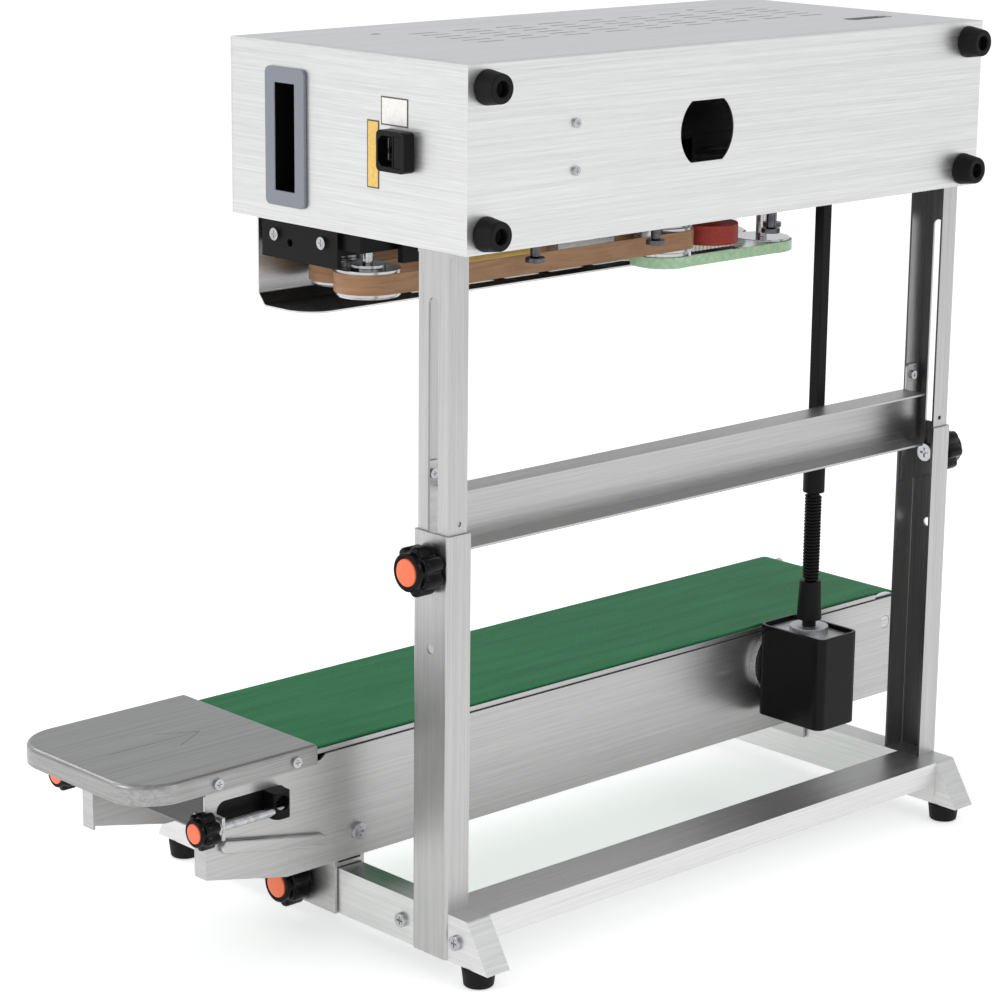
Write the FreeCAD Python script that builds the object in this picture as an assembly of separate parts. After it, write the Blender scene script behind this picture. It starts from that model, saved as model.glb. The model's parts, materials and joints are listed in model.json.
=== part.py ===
import FreeCAD, Part
import math
import os

# Continuous band sealer on a height-adjustable stand, with a conveyor under its head.
# Millimetres. X: the infeed is at +X and bags travel towards -X. Y: the operator stands at -Y and
# the stand's legs are at +Y. Z: up, with the feet on Z = 0. The shapes are drawn about the middle of
# the head and moved at the end, so that the origin is the bottom centre of the whole machine.

V = FreeCAD.Vector
X, Y, Z = V(1, 0, 0), V(0, 1, 0), V(0, 0, 1)

# ---------- driving dimensions ----------
SHEET = 1.5                  # sheet steel of the head
PLATE = 2.0                  # sheet steel of the stand and conveyor
GAP = 0.3                    # space kept between pieces that move past each other
RUN = 0.05                   # radial clearance of a shaft in its hole

HEAD_HALF = 296.0            # half of the head's length
HEAD_FRONT, HEAD_BACK = -100.0, 178.0
HEAD_LOW, HEAD_TOP = 574.0, 714.0
LINE_Y = -8.0                # the plane in which bags are sealed, and the conveyor's middle

LEG_OUT = HEAD_HALF + 2.5    # outer face of the lower legs
LEG_Y0, LEG_Y1 = 122.0, 162.0
LEG_FLANGE = 23.5
LOWER_LEG_TOP = 358.0
UPPER_LEG_LOW = 304.0
CLAMP_Z = 331.0              # clamp bolt of the legs
SLOT_LOW, SLOT_TOP, SLOT_W = 322.0, 539.0, 11.0

LEG_SCREWS_X, LEG_SCREWS_Y = (271.0, 289.0), 151.7

RAIL_OUT = LEG_OUT - PLATE
RAIL_W = 24.0
RAIL_LOW, RAIL_TOP = 16.0, 54.7
RAIL_FRONT, RAIL_BACK = -215.0, 208.0
RAIL_SLANT = 24.0
FOOT_R = 14.0
FEET_Y = (-192.6, 185.0)
RAIL_BOLTS_Y, RAIL_BOLT_Z = (108.0, 172.0), 34.0   # of the leg and of the rear bar
BAR_Y0, BAR_Y1 = 139.0, 184.0             # rear bar

CONV_W = 160.0               # over the side plates
BELT_W = 152.0
BELT_TOP = 181.0
BELT_T = 2.0
ROLLER_R = 28.0
ROLLER_Z = BELT_TOP - BELT_T - ROLLER_R
DRIVE_R = 24.0               # drive roller, lying on the belt's lower run
DRIVE_Z = ROLLER_Z - ROLLER_R + DRIVE_R
OUTFEED_X, INFEED_X = -328.0, 400.0       # axes of the conveyor's end rollers
SIDE_LOW, SIDE_TOP = 82.0, 174.0
SIDE_OUTFEED, SIDE_INFEED = -362.0, 463.0
INFEED_PLATE_X0, INFEED_PLATE_X1 = 356.0, 528.0
INFEED_PLATE_W = 172.0
INFEED_PLATE_TOP = 186.0
SKIRT = 16.0

SHAFT_X, SHAFT_Y = -172.0, 115.0          # the upright shaft that carries the drive down
TUBE_HALF = 5.0
TUBE_LOW, TUBE_TOP = 334.0, 605.0
COIL_LOW, COIL_TOP = 229.0, 309.0
GEARBOX_Y0, GEARBOX_Y1 = 78.0, 152.0
GEARBOX_LOW, GEARBOX_TOP = 103.0, 186.0
GEARBOX_HALF = 25.0

PULLEY_R = 26.0
BAND_T = 1.0
BAND_LOW, BAND_H = 523.0, 16.0
BACK_Y = LINE_Y + PULLEY_R + BAND_T + GAP
FRONT_Y = LINE_Y - PULLEY_R - BAND_T - GAP
INFEED_PULLEY_X = {"back": 256.0, "front": 236.0}
SPINDLE_X = -74.0
GUIDE_X = -200.0             # axis of the toothed guide belts' outfeed pulleys
GUIDE_LOW, GUIDE_H, GUIDE_T = 508.0, 9.0, 2.0
PRESS_X = -130.5
PRESS_R = 26.5
DECK_LOW, DECK_T = HEAD_LOW + SHEET, 5.0  # mechanism plate inside the head
GEAR_Z, GEAR_H = 588.0, 8.0
CHAIN_Z, CHAIN_H = 600.0, 4.0
SPINDLE_TOP = {"back": 608.0, "front": 602.0}      # the back spindle also carries the chain's wheel
MOTOR_X, MOTOR_Y = 30.0, 88.0
WHEEL_R = 18.0               # sprockets of the motor and the back spindle
HUB_WHEEL_R = 16.0           # sprocket of the hub that turns the square tube
FAN_X, FAN_Y = 3.0, -40.0

KNOB_R, KNOB_H = 20.0, 24.0
LOBE_AT = 14.5               # the knob's lobes, out from its axis
RAIL_CLAMP_Y, RAIL_CLAMP_Z = -16.0, 34.5
TENSION_Z, TENSION_OUT = 144.0, 10.0      # rod of the belt tensioners, out from the side plate
TENSION_PITCH = 1.25         # of the tensioner's thread
TENSION_SIZE = 0.72          # of the tensioner's knob, against the clamping knobs
INLET_Y, INLET_Z, INLET_OUT = 103.2, 644.3, 10.0   # mains inlet on the infeed end of the head
PANEL_Z = 650.0              # height of the controls on the front panel
SPEED_X = -70.0
PANEL_CUTS = {"controller": (60.0, PANEL_Z, 22.5, 22.5), "power": (150.0, PANEL_Z, 9.5, 6.5)}


# ---------- helpers ----------
def box(x0, x1, y0, y1, z0, z1):
    return Part.makeBox(x1 - x0, y1 - y0, z1 - z0, V(x0, y0, z0))


def rod(x, y, z, r, length, axis=Z):
    return Part.makeCylinder(r, length, V(x, y, z), axis)


def ring(x, y, z, outer, inner, length, axis=Z):
    return rod(x, y, z, outer, length, axis).cut(rod(x, y, z, inner, length, axis))


def join(*solids):
    return solids[0].multiFuse(list(solids[1:])).removeSplitter()


def outline(points):
    """Closed wire through (x, y, corner radius) points, with an arc at each rounded corner."""
    edges, starts = [], []
    count = len(points)
    for i, (px, py, r) in enumerate(points):
        here = V(px, py, 0)
        before = V(*points[i - 1][:2], 0) - here
        after = V(*points[(i + 1) % count][:2], 0) - here
        before.normalize()
        after.normalize()
        if r == 0:
            starts.append((here, here, None))
            continue
        half = before.getAngle(after) / 2
        middle = before + after
        middle.normalize()
        run = r / math.tan(half)
        arc_middle = here + middle * (r / math.sin(half) - r)
        starts.append((here + before * run, here + after * run, arc_middle))
    for i, (first, last, middle) in enumerate(starts):
        if middle:
            edges.append(Part.Arc(first, middle, last).toShape())
        following = starts[(i + 1) % count][0]
        if last.distanceToPoint(following) > 1e-6:
            edges.append(Part.LineSegment(last, following).toShape())
    return Part.Wire(edges)


def plate_z(points, z0, z1):
    """Prism of an XY outline between two heights."""
    solid = Part.Face(outline(points)).extrude(V(0, 0, z1 - z0))
    solid.translate(V(0, 0, z0))
    return solid


def plate_x(points, x0, x1):
    """Prism of a YZ outline between two X."""
    solid = plate_z(points, 0, x1 - x0)
    solid.rotate(V(0, 0, 0), V(1, 1, 1), 120)
    solid.translate(V(x0, 0, 0))
    return solid


def plate_y(points, y0, y1):
    """Prism of an XZ outline between two Y."""
    solid = plate_z(points, 0, y1 - y0)
    solid.rotate(V(0, 0, 0), X, 90)
    solid.translate(V(0, y1, 0))
    return solid


def rounded(u0, u1, v0, v1, r):
    return [(u0, v0, r), (u1, v0, r), (u1, v1, r), (u0, v1, r)]


def belt(circles, gap, thickness, z0, height):
    """Closed loop round circles (x, y, r) given in counterclockwise order, as a band of solid."""
    def loop(extra):
        edges = []
        tangents = []
        for i, (x0, y0, r0) in enumerate(circles):
            x1, y1, r1 = circles[(i + 1) % len(circles)]
            r0, r1 = r0 + extra, r1 + extra
            span = math.hypot(x1 - x0, y1 - y0)
            turn = math.atan2(y1 - y0, x1 - x0) - math.pi / 2 + math.asin((r1 - r0) / span)
            side = V(math.cos(turn), math.sin(turn), 0)
            tangents.append((V(x0, y0, 0) + side * r0, V(x1, y1, 0) + side * r1, turn))
        for i, (x0, y0, r0) in enumerate(circles):
            arrive = tangents[i - 1]
            leave = tangents[i]
            edges.append(Part.LineSegment(arrive[0], arrive[1]).toShape())
            sweep = (leave[2] - arrive[2]) % (2 * math.pi)
            half = arrive[2] + sweep / 2
            middle = V(x0 + (r0 + extra) * math.cos(half), y0 + (r0 + extra) * math.sin(half), 0)
            edges.append(Part.Arc(arrive[1], middle, leave[0]).toShape())
        return Part.Face(Part.Wire(edges))
    band = loop(gap + thickness).cut(loop(gap)).extrude(V(0, 0, height))
    band.translate(V(0, 0, z0))
    return band


def mirror_x(solid):
    return solid.mirror(V(0, 0, 0), X)


def star_knob(x, y, z, way, size=1.0):
    """Seven-lobed clamping knob with a round cap, its axis along X and its face towards way."""
    axis = X * way
    knob_r, knob_h, lobe_at = KNOB_R * size, KNOB_H * size, LOBE_AT * size
    body = rod(x, y, z, knob_r - 4.5 * size, knob_h, axis)
    for lobe in range(7):
        turn = 2 * math.pi * lobe / 7
        lobe_y, lobe_z = y + lobe_at * math.cos(turn), z + lobe_at * math.sin(turn)
        body = body.fuse(rod(x, lobe_y, lobe_z, knob_r - lobe_at, knob_h - 6 * size, axis))
    body = body.removeSplitter()
    seat = rod(x + way * (knob_h - 2 * size), y, z, 11.0 * size, 2 * size, axis)
    cap = rod(x + way * (knob_h - 2 * size), y, z, 10.95 * size, 3 * size, axis)
    return body.cut(seat), cap


def screw(x, y, z, axis, head_r, head_h, shank_r, shank):
    """Dome-headed screw: the head stands on the point, along axis, and the shank goes the other way."""
    head = Part.makeCone(head_r, head_r * 0.6, head_h, V(x, y, z), axis)
    return head.fuse(Part.makeCylinder(shank_r, shank, V(x, y, z), axis * -1)).removeSplitter()


parts = {}


def add(name, *solids):
    parts.setdefault(name, []).extend(solids)


def add_both(name, solid):
    add(name, solid, mirror_x(solid))


# ---------- stand ----------
def make_stand():
    inset = PLATE
    top_back, top_front = RAIL_BACK - RAIL_SLANT, RAIL_FRONT + RAIL_SLANT
    hull = [(RAIL_FRONT, RAIL_LOW, 0), (RAIL_BACK, RAIL_LOW, 0),
            (top_back, RAIL_TOP, 3), (top_front, RAIL_TOP, 3)]
    slope = RAIL_SLANT / (RAIL_TOP - RAIL_LOW)
    back_in = RAIL_BACK - inset - inset * slope
    front_in = RAIL_FRONT + inset + inset * slope
    room = [(front_in, RAIL_LOW + inset, 0), (back_in, RAIL_LOW + inset, 0),
            (top_back - inset * 0.6, RAIL_TOP - inset, 0), (top_front + inset * 0.6, RAIL_TOP - inset, 0)]
    rail = plate_x(hull, RAIL_OUT - RAIL_W, RAIL_OUT)
    rail = rail.cut(plate_x(room, RAIL_OUT - RAIL_W + PLATE, RAIL_OUT - PLATE))
    pad = 48.0
    rail = rail.cut(box(RAIL_OUT - RAIL_W + PLATE, RAIL_OUT - PLATE, RAIL_FRONT + pad, RAIL_BACK - pad,
                        RAIL_LOW - 1, RAIL_LOW + PLATE + 1))
    middle = RAIL_OUT - RAIL_W / 2
    for y in FEET_Y:
        rail = rail.cut(rod(middle, y, RAIL_LOW - 1, 3 + RUN, 5))
        foot = Part.makeCone(12, FOOT_R, RAIL_LOW, V(middle, y, 0))
        stud = rod(middle, y, RAIL_LOW, 3, 7)
        nut = ring(middle, y, RAIL_LOW + PLATE, 6, 3 + RUN, 4)
        foot = foot.fuse(stud).removeSplitter()
        add("base_feet", foot, mirror_x(foot))
        add("base_screws", nut, mirror_x(nut))
    for y, inner in zip(RAIL_BOLTS_Y, (RAIL_OUT - PLATE - 5, RAIL_OUT - RAIL_W - PLATE - 4)):
        through = rod(RAIL_OUT - RAIL_W - 8, y, RAIL_BOLT_Z, 3 + RUN, RAIL_W + 12, X)
        rail = rail.cut(through)
        bolt = screw(RAIL_OUT, y, RAIL_BOLT_Z, X, 6.0, 3.0, 3.0, RAIL_OUT - inner + 2)
        nut = ring(inner, y, RAIL_BOLT_Z, 5.5, 3 + RUN, 4, X)
        add("base_screws", bolt, nut, mirror_x(bolt), mirror_x(nut))
    add_both("side_rails", rail)

    half = RAIL_OUT - RAIL_W
    bolt_y, bolt_z = RAIL_BOLTS_Y[1], RAIL_BOLT_Z
    bar = box(-half, half, BAR_Y0, BAR_Y1, bolt_z, RAIL_TOP)
    bar = bar.cut(box(-half, half, BAR_Y0 + PLATE, BAR_Y1 - PLATE, bolt_z - 1, RAIL_TOP - PLATE))
    tab = box(half - PLATE, half, BAR_Y0, BAR_Y1, bolt_z - 10, RAIL_TOP)
    bar = join(bar, tab, mirror_x(tab))
    bar = bar.cut(rod(-half - 1, bolt_y, bolt_z, 3 + RUN, 2 * half + 2, X))
    nut_room = box(half - PLATE - 4 - GAP, half - PLATE, bolt_y - 6.5, bolt_y + 6.5,
                   bolt_z - 7, bolt_z + 7)
    add("rear_bar", bar.cut(nut_room).cut(mirror_x(nut_room)))

    web = [(LEG_OUT - LEG_FLANGE, LEG_Y0, 0), (LEG_OUT, LEG_Y0, 3), (LEG_OUT, LEG_Y1, 3),
           (LEG_OUT - LEG_FLANGE, LEG_Y1, 0)]
    room = [(LEG_OUT - LEG_FLANGE - 1, LEG_Y0 + PLATE, 0), (LEG_OUT - PLATE, LEG_Y0 + PLATE, 1),
            (LEG_OUT - PLATE, LEG_Y1 - PLATE, 1), (LEG_OUT - LEG_FLANGE - 1, LEG_Y1 - PLATE, 0)]
    leg = plate_z(web, RAIL_LOW, LOWER_LEG_TOP).cut(plate_z(room, RAIL_LOW - 1, LOWER_LEG_TOP + 1))
    leg = leg.cut(box(LEG_OUT - LEG_FLANGE - 1, LEG_OUT - PLATE, LEG_Y0 - 1, LEG_Y1 + 1, RAIL_LOW - 1, RAIL_TOP))
    middle = (LEG_Y0 + LEG_Y1) / 2
    leg = leg.cut(rod(LEG_OUT - 5, middle, CLAMP_Z, 4 + RUN, 10, X))
    leg = leg.cut(rod(LEG_OUT - 5, middle, 266, 4, 10, X))
    add("lower_leg_infeed", leg)
    add("lower_leg_outfeed", mirror_x(leg))

    body, cap = star_knob(LEG_OUT + GAP, middle, CLAMP_Z, 1)
    inner = LEG_OUT - 2 * PLATE - GAP - 2.5
    stud = rod(inner, middle, CLAMP_Z, 4, LEG_OUT + GAP - inner, X)
    dome = Part.makeCone(5.5, 8, 4, V(inner - 4, middle, CLAMP_Z), X)
    knob = join(body, stud, dome)
    add("leg_knob_infeed", knob, cap)
    add("leg_knob_outfeed", mirror_x(knob), mirror_x(cap))


# ---------- head frame and casing ----------
def make_upper_leg():
    out = LEG_OUT - PLATE - GAP
    y0, y1 = LEG_Y0 + PLATE + GAP, LEG_Y1 - PLATE - GAP
    edge = LEG_OUT - LEG_FLANGE + 2
    foot_t = 2.5
    top = HEAD_LOW - foot_t
    web = [(edge, y0, 0), (out, y0, 1.5), (out, y1, 1.5), (edge, y1, 0)]
    room = [(edge - 1, y0 + PLATE, 0), (out - PLATE, y0 + PLATE, 0), (out - PLATE, y1 - PLATE, 0),
            (edge - 1, y1 - PLATE, 0)]
    leg = plate_z(web, UPPER_LEG_LOW, top).cut(plate_z(room, UPPER_LEG_LOW - 1, top + 1))
    middle = (LEG_Y0 + LEG_Y1) / 2
    slot = rounded(middle - SLOT_W / 2, middle + SLOT_W / 2, SLOT_LOW, SLOT_TOP, SLOT_W / 2 - 0.01)
    leg = leg.cut(plate_x(slot, out - 5, out + 5))
    slant = [(y0 - 1, UPPER_LEG_LOW - 1, 0), (y1 + 1, UPPER_LEG_LOW - 1, 0), (y1 + 1, UPPER_LEG_LOW + 14, 0)]
    leg = leg.cut(plate_x(slant, edge - 1, out + 1))
    foot = box(edge - 12, out, y0, y1 + 4, top, HEAD_LOW)
    for x in LEG_SCREWS_X:
        foot = foot.cut(rod(x, LEG_SCREWS_Y, top - 1, 2.5 + RUN, 5))
        add_both("head_fasteners", screw(x, LEG_SCREWS_Y, top, Z * -1, 4.2, 2.4, 2.5, 8))
    leg = join(leg, foot)
    brace_screw = (edge + 7, 400.0)
    leg = leg.cut(rod(brace_screw[0], y0 - 1, brace_screw[1], 2 + RUN, 5, Y))
    leg = leg.cut(rod(edge + 8, y1 - 5, 366, 2, 8, Y))
    add("upper_leg_infeed", leg)
    add("upper_leg_outfeed", mirror_x(leg))

    web_y = y0 + PLATE + 0.1
    half = out - PLATE - 4
    brace = box(-half, half, web_y, web_y + PLATE, 341, 388)
    flange_half = edge - 3
    for z in (341.0, 388.0 - PLATE):
        brace = brace.fuse(box(-flange_half, flange_half, web_y + PLATE, web_y + 25, z, z + PLATE))
    tab = plate_y(rounded(edge - 1, half, 380, 410, 3), web_y, web_y + PLATE)
    tab = tab.cut(rod(brace_screw[0], web_y - 1, brace_screw[1], 2 + RUN, 5, Y))
    brace = join(brace, tab, mirror_x(tab))
    add("cross_brace", brace)
    add_both("head_fasteners", screw(brace_screw[0], web_y + PLATE, brace_screw[1], Y, 3.8, 2.2, 2.0, 2 * PLATE))


def make_casing():
    h, t = HEAD_HALF, SHEET
    shell = box(-h, h, HEAD_FRONT + t, HEAD_BACK, HEAD_LOW, HEAD_TOP)
    shell = shell.cut(box(-h + t, h - t, HEAD_FRONT, HEAD_BACK - t, HEAD_LOW + t, HEAD_TOP - t))
    lid = (-286.0, 286.0, -60.0, 168.0)
    lid_gap = 0.8
    shell = shell.cut(box(lid[0] - lid_gap, lid[1] + lid_gap, lid[2] - lid_gap, lid[3] + lid_gap, 700, 720))
    shell = shell.cut(box(-272, 272, -86, 100, HEAD_LOW - 1, HEAD_LOW + 3))
    shell = shell.cut(rod(SHAFT_X, SHAFT_Y, HEAD_LOW - 1, 14, 4))
    for x in LEG_SCREWS_X:
        hole = rod(x, LEG_SCREWS_Y, HEAD_LOW - 1, 2.5 + RUN, 4)
        shell = shell.cut(hole).cut(mirror_x(hole))

    hole = rod(42, HEAD_BACK - 5, 647, 30, 10, Y)
    hole = hole.common(box(0, 90, HEAD_BACK - 6, HEAD_BACK + 6, 623, 671))
    shell = shell.cut(hole)
    for x in (277.0, -277.0):
        for z in (589.0, 699.0 - 2):
            shell = shell.cut(rod(x, HEAD_BACK - 4, z, 2.5 + RUN, 6, Y))
            foot = Part.makeCone(13.5, 11, 17, V(x, HEAD_BACK, z), Y)
            foot = foot.cut(rod(x, HEAD_BACK + 9, z, 6, 9, Y))
            add("head_feet", join(foot, rod(x, HEAD_BACK - 5, z, 2.5, 6, Y)))
    for z in (628.0, 664.0):
        shell = shell.cut(rod(186, HEAD_BACK - 4, z, 2 + RUN, 6, Y))
        add("head_fasteners", screw(186, HEAD_BACK, z, Y, 3.8, 2.2, 2.0, 8))

    cup_y0, cup_y1, cup_z0, cup_z1 = -54.0, -6.0, 587.0, 695.0
    for way in (1, -1):
        window = box(h - 4, h + 2, cup_y0 + 6, cup_y1 - 6, cup_z0 + 6, cup_z1 - 6)
        rim = plate_x(rounded(cup_y0, cup_y1, cup_z0, cup_z1, 5), h, h + 3)
        cup = box(h - 30, h, cup_y0 + 6.5, cup_y1 - 6.5, cup_z0 + 6.5, cup_z1 - 6.5)
        hollow = box(h - 28, h + 4, cup_y0 + 12, cup_y1 - 12, cup_z0 + 12, cup_z1 - 12)
        cup = join(rim, cup).cut(hollow)
        if way < 0:
            window, cup = mirror_x(window), mirror_x(cup)
        shell = shell.cut(window)
        add("handle_cups", cup)

    inlet_y, inlet_z, half_w, half_h = INLET_Y, INLET_Z, 16.0, 15.5
    face = h + INLET_OUT
    shell = shell.cut(box(h - 4, h + 2, inlet_y - half_w + 3, inlet_y + half_w - 3, inlet_z - half_h + 2,
                          inlet_z + half_h - 2))
    rim = plate_x(rounded(inlet_y - half_w, inlet_y + half_w, inlet_z - half_h, inlet_z + half_h, 4), h, face)
    body = box(h - 16, h, inlet_y - half_w + 3.3, inlet_y + half_w - 3.3, inlet_z - half_h + 2.3,
               inlet_z + half_h - 2.3)
    socket = join(rim, body)
    mouth_y0, mouth_y1, mouth_half = inlet_y - 13.7, inlet_y + 2.3, 11.5
    mouth = [(mouth_y0 + 4, inlet_z - mouth_half, 0), (mouth_y1, inlet_z - mouth_half, 0),
             (mouth_y1, inlet_z + mouth_half, 0), (mouth_y0 + 4, inlet_z + mouth_half, 0),
             (mouth_y0, inlet_z + mouth_half - 4, 0), (mouth_y0, inlet_z - mouth_half + 4, 0)]
    socket = socket.cut(plate_x(mouth, h - 10, face + 1))
    drawer_y0, drawer_y1 = inlet_y + 3.5, inlet_y + 11.8
    socket = socket.cut(box(h - 10, face + 1, drawer_y0, drawer_y1, inlet_z - 12, inlet_z + 12))
    drawer = box(h - 9.9, face - 0.4, drawer_y0 + 0.1, drawer_y1 - 0.1, inlet_z - 11.9, inlet_z + 11.9)
    pins = [box(h - 10, face - 5, y - 1, y + 1, z - 2, z + 2) for y, z in
            ((inlet_y - 3, inlet_z - 7), (inlet_y - 7, inlet_z), (inlet_y - 3, inlet_z + 7))]
    add("power_inlet", socket, drawer, *pins)
    add("head_housing", shell)

    front = box(-h, h, HEAD_FRONT, HEAD_FRONT + t, HEAD_LOW, HEAD_TOP)
    for x, z, half_x, half_z in PANEL_CUTS.values():
        front = front.cut(box(x - half_x, x + half_x, HEAD_FRONT - 1, HEAD_FRONT + 3, z - half_z, z + half_z))
    front = front.cut(rod(SPEED_X, HEAD_FRONT - 1, PANEL_Z, 3.5 + RUN, 4, Y))
    for x in (-285.0, 285.0):
        for z in (584.0, 704.0):
            front = front.cut(rod(x, HEAD_FRONT - 1, z, 2 + RUN, 4, Y))
            add("head_fasteners", screw(x, HEAD_FRONT, z, Y * -1, 3.8, 2.2, 2.0, 8))
    add("front_panel", front)

    cover = box(lid[0], lid[1], lid[2], lid[3], HEAD_TOP - 2 * t, HEAD_TOP)
    cover = cover.cut(box(lid[0] + t, lid[1] - t, lid[2] + t, lid[3] - t, HEAD_TOP - 3 * t, HEAD_TOP - t))
    cut_ends = 7.0
    slots = []
    for column in range(9):
        for row in range(6):
            x, y = -216 + column * 47.0, -24 + row * 16.0
            slots.append(plate_z(rounded(x - 16, x + 16, y - 1.5, y + 1.5, 1.49), HEAD_TOP - 5, HEAD_TOP + 1))
    slots.append(plate_z(rounded(-262, -206, 96, 96 + 2 * cut_ends, cut_ends - 0.01), HEAD_TOP - 5, HEAD_TOP + 1))
    for x in (196.0, -166.0):
        slots.append(plate_z(rounded(x - 5, x + 5, -44, -38, 2.99), HEAD_TOP - 5, HEAD_TOP + 1))
    add("top_cover", cover.cut(Part.makeCompound(slots)))


def make_controls():
    x, z, half, _ = PANEL_CUTS["controller"]
    bezel = plate_y(rounded(x - 24, x + 24, z - 24, z + 24, 2), HEAD_FRONT - 6, HEAD_FRONT)
    case = box(x - half + GAP, x + half - GAP, HEAD_FRONT, HEAD_FRONT + 60, z - half + GAP, z + half - GAP)
    controller = join(bezel, case)
    window = box(x - 19, x + 19, HEAD_FRONT - 6.5, HEAD_FRONT - 5, z - 2, z + 18)
    add("panel_instruments", controller.cut(window))
    x, z, half_x, half_z = PANEL_CUTS["power"]
    rocker = rod(x, HEAD_FRONT + 4, z - half_z + 1.2, 9.0, 2 * half_z - 2.4)
    rocker = rocker.common(box(x - half_x + 1.2, x + half_x - 1.2, HEAD_FRONT - 6, HEAD_FRONT + 3, 0, 900))
    add("power_switch", rocker)
    frame = box(x - half_x - 2, x + half_x + 2, HEAD_FRONT - 1.5, HEAD_FRONT, z - half_z - 2, z + half_z + 2)
    frame = join(frame, box(x - half_x + GAP, x + half_x - GAP, HEAD_FRONT, HEAD_FRONT + 16,
                            z - half_z + GAP, z + half_z - GAP))
    frame = frame.cut(box(x - half_x + 0.8, x + half_x - 0.8, HEAD_FRONT - 6, HEAD_FRONT + 14,
                          z - half_z + 0.8, z + half_z - 0.8))
    add("panel_instruments", frame)
    knob = Part.makeCone(13, 11.5, 15, V(SPEED_X, HEAD_FRONT - 1, PANEL_Z), Y * -1)
    knob = knob.cut(box(SPEED_X - 0.8, SPEED_X + 0.8, HEAD_FRONT - 17, HEAD_FRONT - 15.4, PANEL_Z, PANEL_Z + 12))
    add("speed_knob", join(knob, rod(SPEED_X, HEAD_FRONT - 2, PANEL_Z, 3.5, 16, Y)))


# ---------- sealing mechanism ----------
def bore(solid, x, y, r):
    return solid.cut(rod(x, y, DECK_LOW - 1, r + RUN, DECK_T + 2))


def make_mechanism():
    deck = box(-280, 280, -94, 172, DECK_LOW, DECK_LOW + DECK_T)
    for x, y in [(SPINDLE_X, BACK_Y), (SPINDLE_X, FRONT_Y)]:
        deck = bore(deck, x, y, 6)
    for way, x in INFEED_PULLEY_X.items():
        deck = bore(deck, x, BACK_Y if way == "back" else FRONT_Y, 4)
    for y in (BACK_Y, FRONT_Y):
        deck = bore(deck, PRESS_X, y, 5)
        deck = bore(deck, GUIDE_X, y, 5)
    deck = deck.cut(rod(SHAFT_X, SHAFT_Y, DECK_LOW - 1, 14, DECK_T + 2))
    deck = deck.cut(rod(FAN_X, FAN_Y, DECK_LOW - 1, 23, DECK_T + 2))
    hole = rod(LEG_SCREWS_X[0], LEG_SCREWS_Y, DECK_LOW - 1, 2.5 + RUN, DECK_T + 2)
    deck = deck.cut(hole).cut(mirror_x(hole))

    back_loop = [(SPINDLE_X, BACK_Y, PULLEY_R), (INFEED_PULLEY_X["back"], BACK_Y, PULLEY_R)]
    front_loop = [(SPINDLE_X, FRONT_Y, PULLEY_R), (INFEED_PULLEY_X["front"], FRONT_Y, PULLEY_R)]
    for loop in (back_loop, front_loop):
        add("seal_belts", belt(loop, 0.05, BAND_T, BAND_LOW, BAND_H))
    rim = 1.2
    pulley_low, pulley_h = BAND_LOW - 2.5, BAND_H + 5
    for way, y in (("back", BACK_Y), ("front", FRONT_Y)):
        guide_r = PULLEY_R + BAND_T - GUIDE_T
        ends = [(GUIDE_X, y, guide_r), (SPINDLE_X, y, guide_r)]
        add("guide_belts", belt(ends, 0.05, GUIDE_T, GUIDE_LOW, GUIDE_H))

        x = SPINDLE_X
        drum = rod(x, y, pulley_low, PULLEY_R, pulley_h)
        flange = rod(x, y, pulley_low + pulley_h, PULLEY_R - 3, 2)
        toothed = rod(x, y, GUIDE_LOW - 1, guide_r, pulley_low - GUIDE_LOW + 1)
        spindle = rod(x, y, pulley_low, 6, SPINDLE_TOP[way] - pulley_low)
        gear_r = (BACK_Y - FRONT_Y) / 2
        phase = 0.5 if way == "front" else 0.0
        turning = [drum, flange, toothed, spindle, gear(x, y, gear_r, phase)]
        if way == "back":
            turning.append(rod(x, y, CHAIN_Z, WHEEL_R, CHAIN_H))
        add("drive_spindle_" + way, join(*turning))

        x = INFEED_PULLEY_X[way]
        drum = rod(x, y, pulley_low, PULLEY_R, pulley_h)
        lower = rod(x, y, pulley_low - rim, PULLEY_R - 1, rim)
        collar = rod(x, y, pulley_low + pulley_h, 14, 3)
        axle = rod(x, y, pulley_low, 4, DECK_LOW + DECK_T + 4 - pulley_low)
        add("infeed_pulley_" + way, join(drum, lower, collar, axle))

        x = GUIDE_X
        toothed = rod(x, y, GUIDE_LOW - 1, guide_r, GUIDE_H + 3)
        axle = rod(x, y, GUIDE_LOW - 1, 5, DECK_LOW + DECK_T + 4 - GUIDE_LOW + 1)
        add("guide_pulley_" + way, join(toothed, axle))

    wheel_low, wheel_h = 521.5, 17.0
    for name, y, r in (("press_wheel", BACK_Y, PRESS_R), ("emboss_wheel", FRONT_Y, PRESS_R - 0.5)):
        tyre = rod(PRESS_X, y, wheel_low, r, wheel_h)
        hub = rod(PRESS_X, y, wheel_low + wheel_h, 13, 4)
        axle = rod(PRESS_X, y, wheel_low, 5, DECK_LOW + DECK_T + 4 - wheel_low)
        add(name, join(tyre, hub, axle))

    clear = 0.4
    for y, way in ((LINE_Y + GAP + BAND_T + clear, 1), (LINE_Y - GAP - BAND_T - clear, -1)):
        for node, x0, x1, depth in (("heating_blocks", 66.0, 176.0, 14.0), ("cooling_blocks", -30.0, 36.0, 12.0)):
            y0, y1 = sorted((y, y + way * depth))
            block = box(x0, x1, y0, y1, BAND_LOW + 1, BAND_LOW + 15)
            if node == "cooling_blocks":
                for fx in (x0 + 1, x0 + 8, x0 + 29, x0 + 36, x0 + 55, x0 + 62):
                    block = block.fuse(box(fx, fx + 3, y0, y1, BAND_LOW + 15, BAND_LOW + 26))
            block = block.removeSplitter()
            add(node, block)
            top = BAND_LOW + 15
            for px in (x0 + 20.5, x1 - 20.5):
                add("head_fasteners", rod(px, (y0 + y1) / 2, top, 2.5, DECK_LOW - top))

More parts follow.
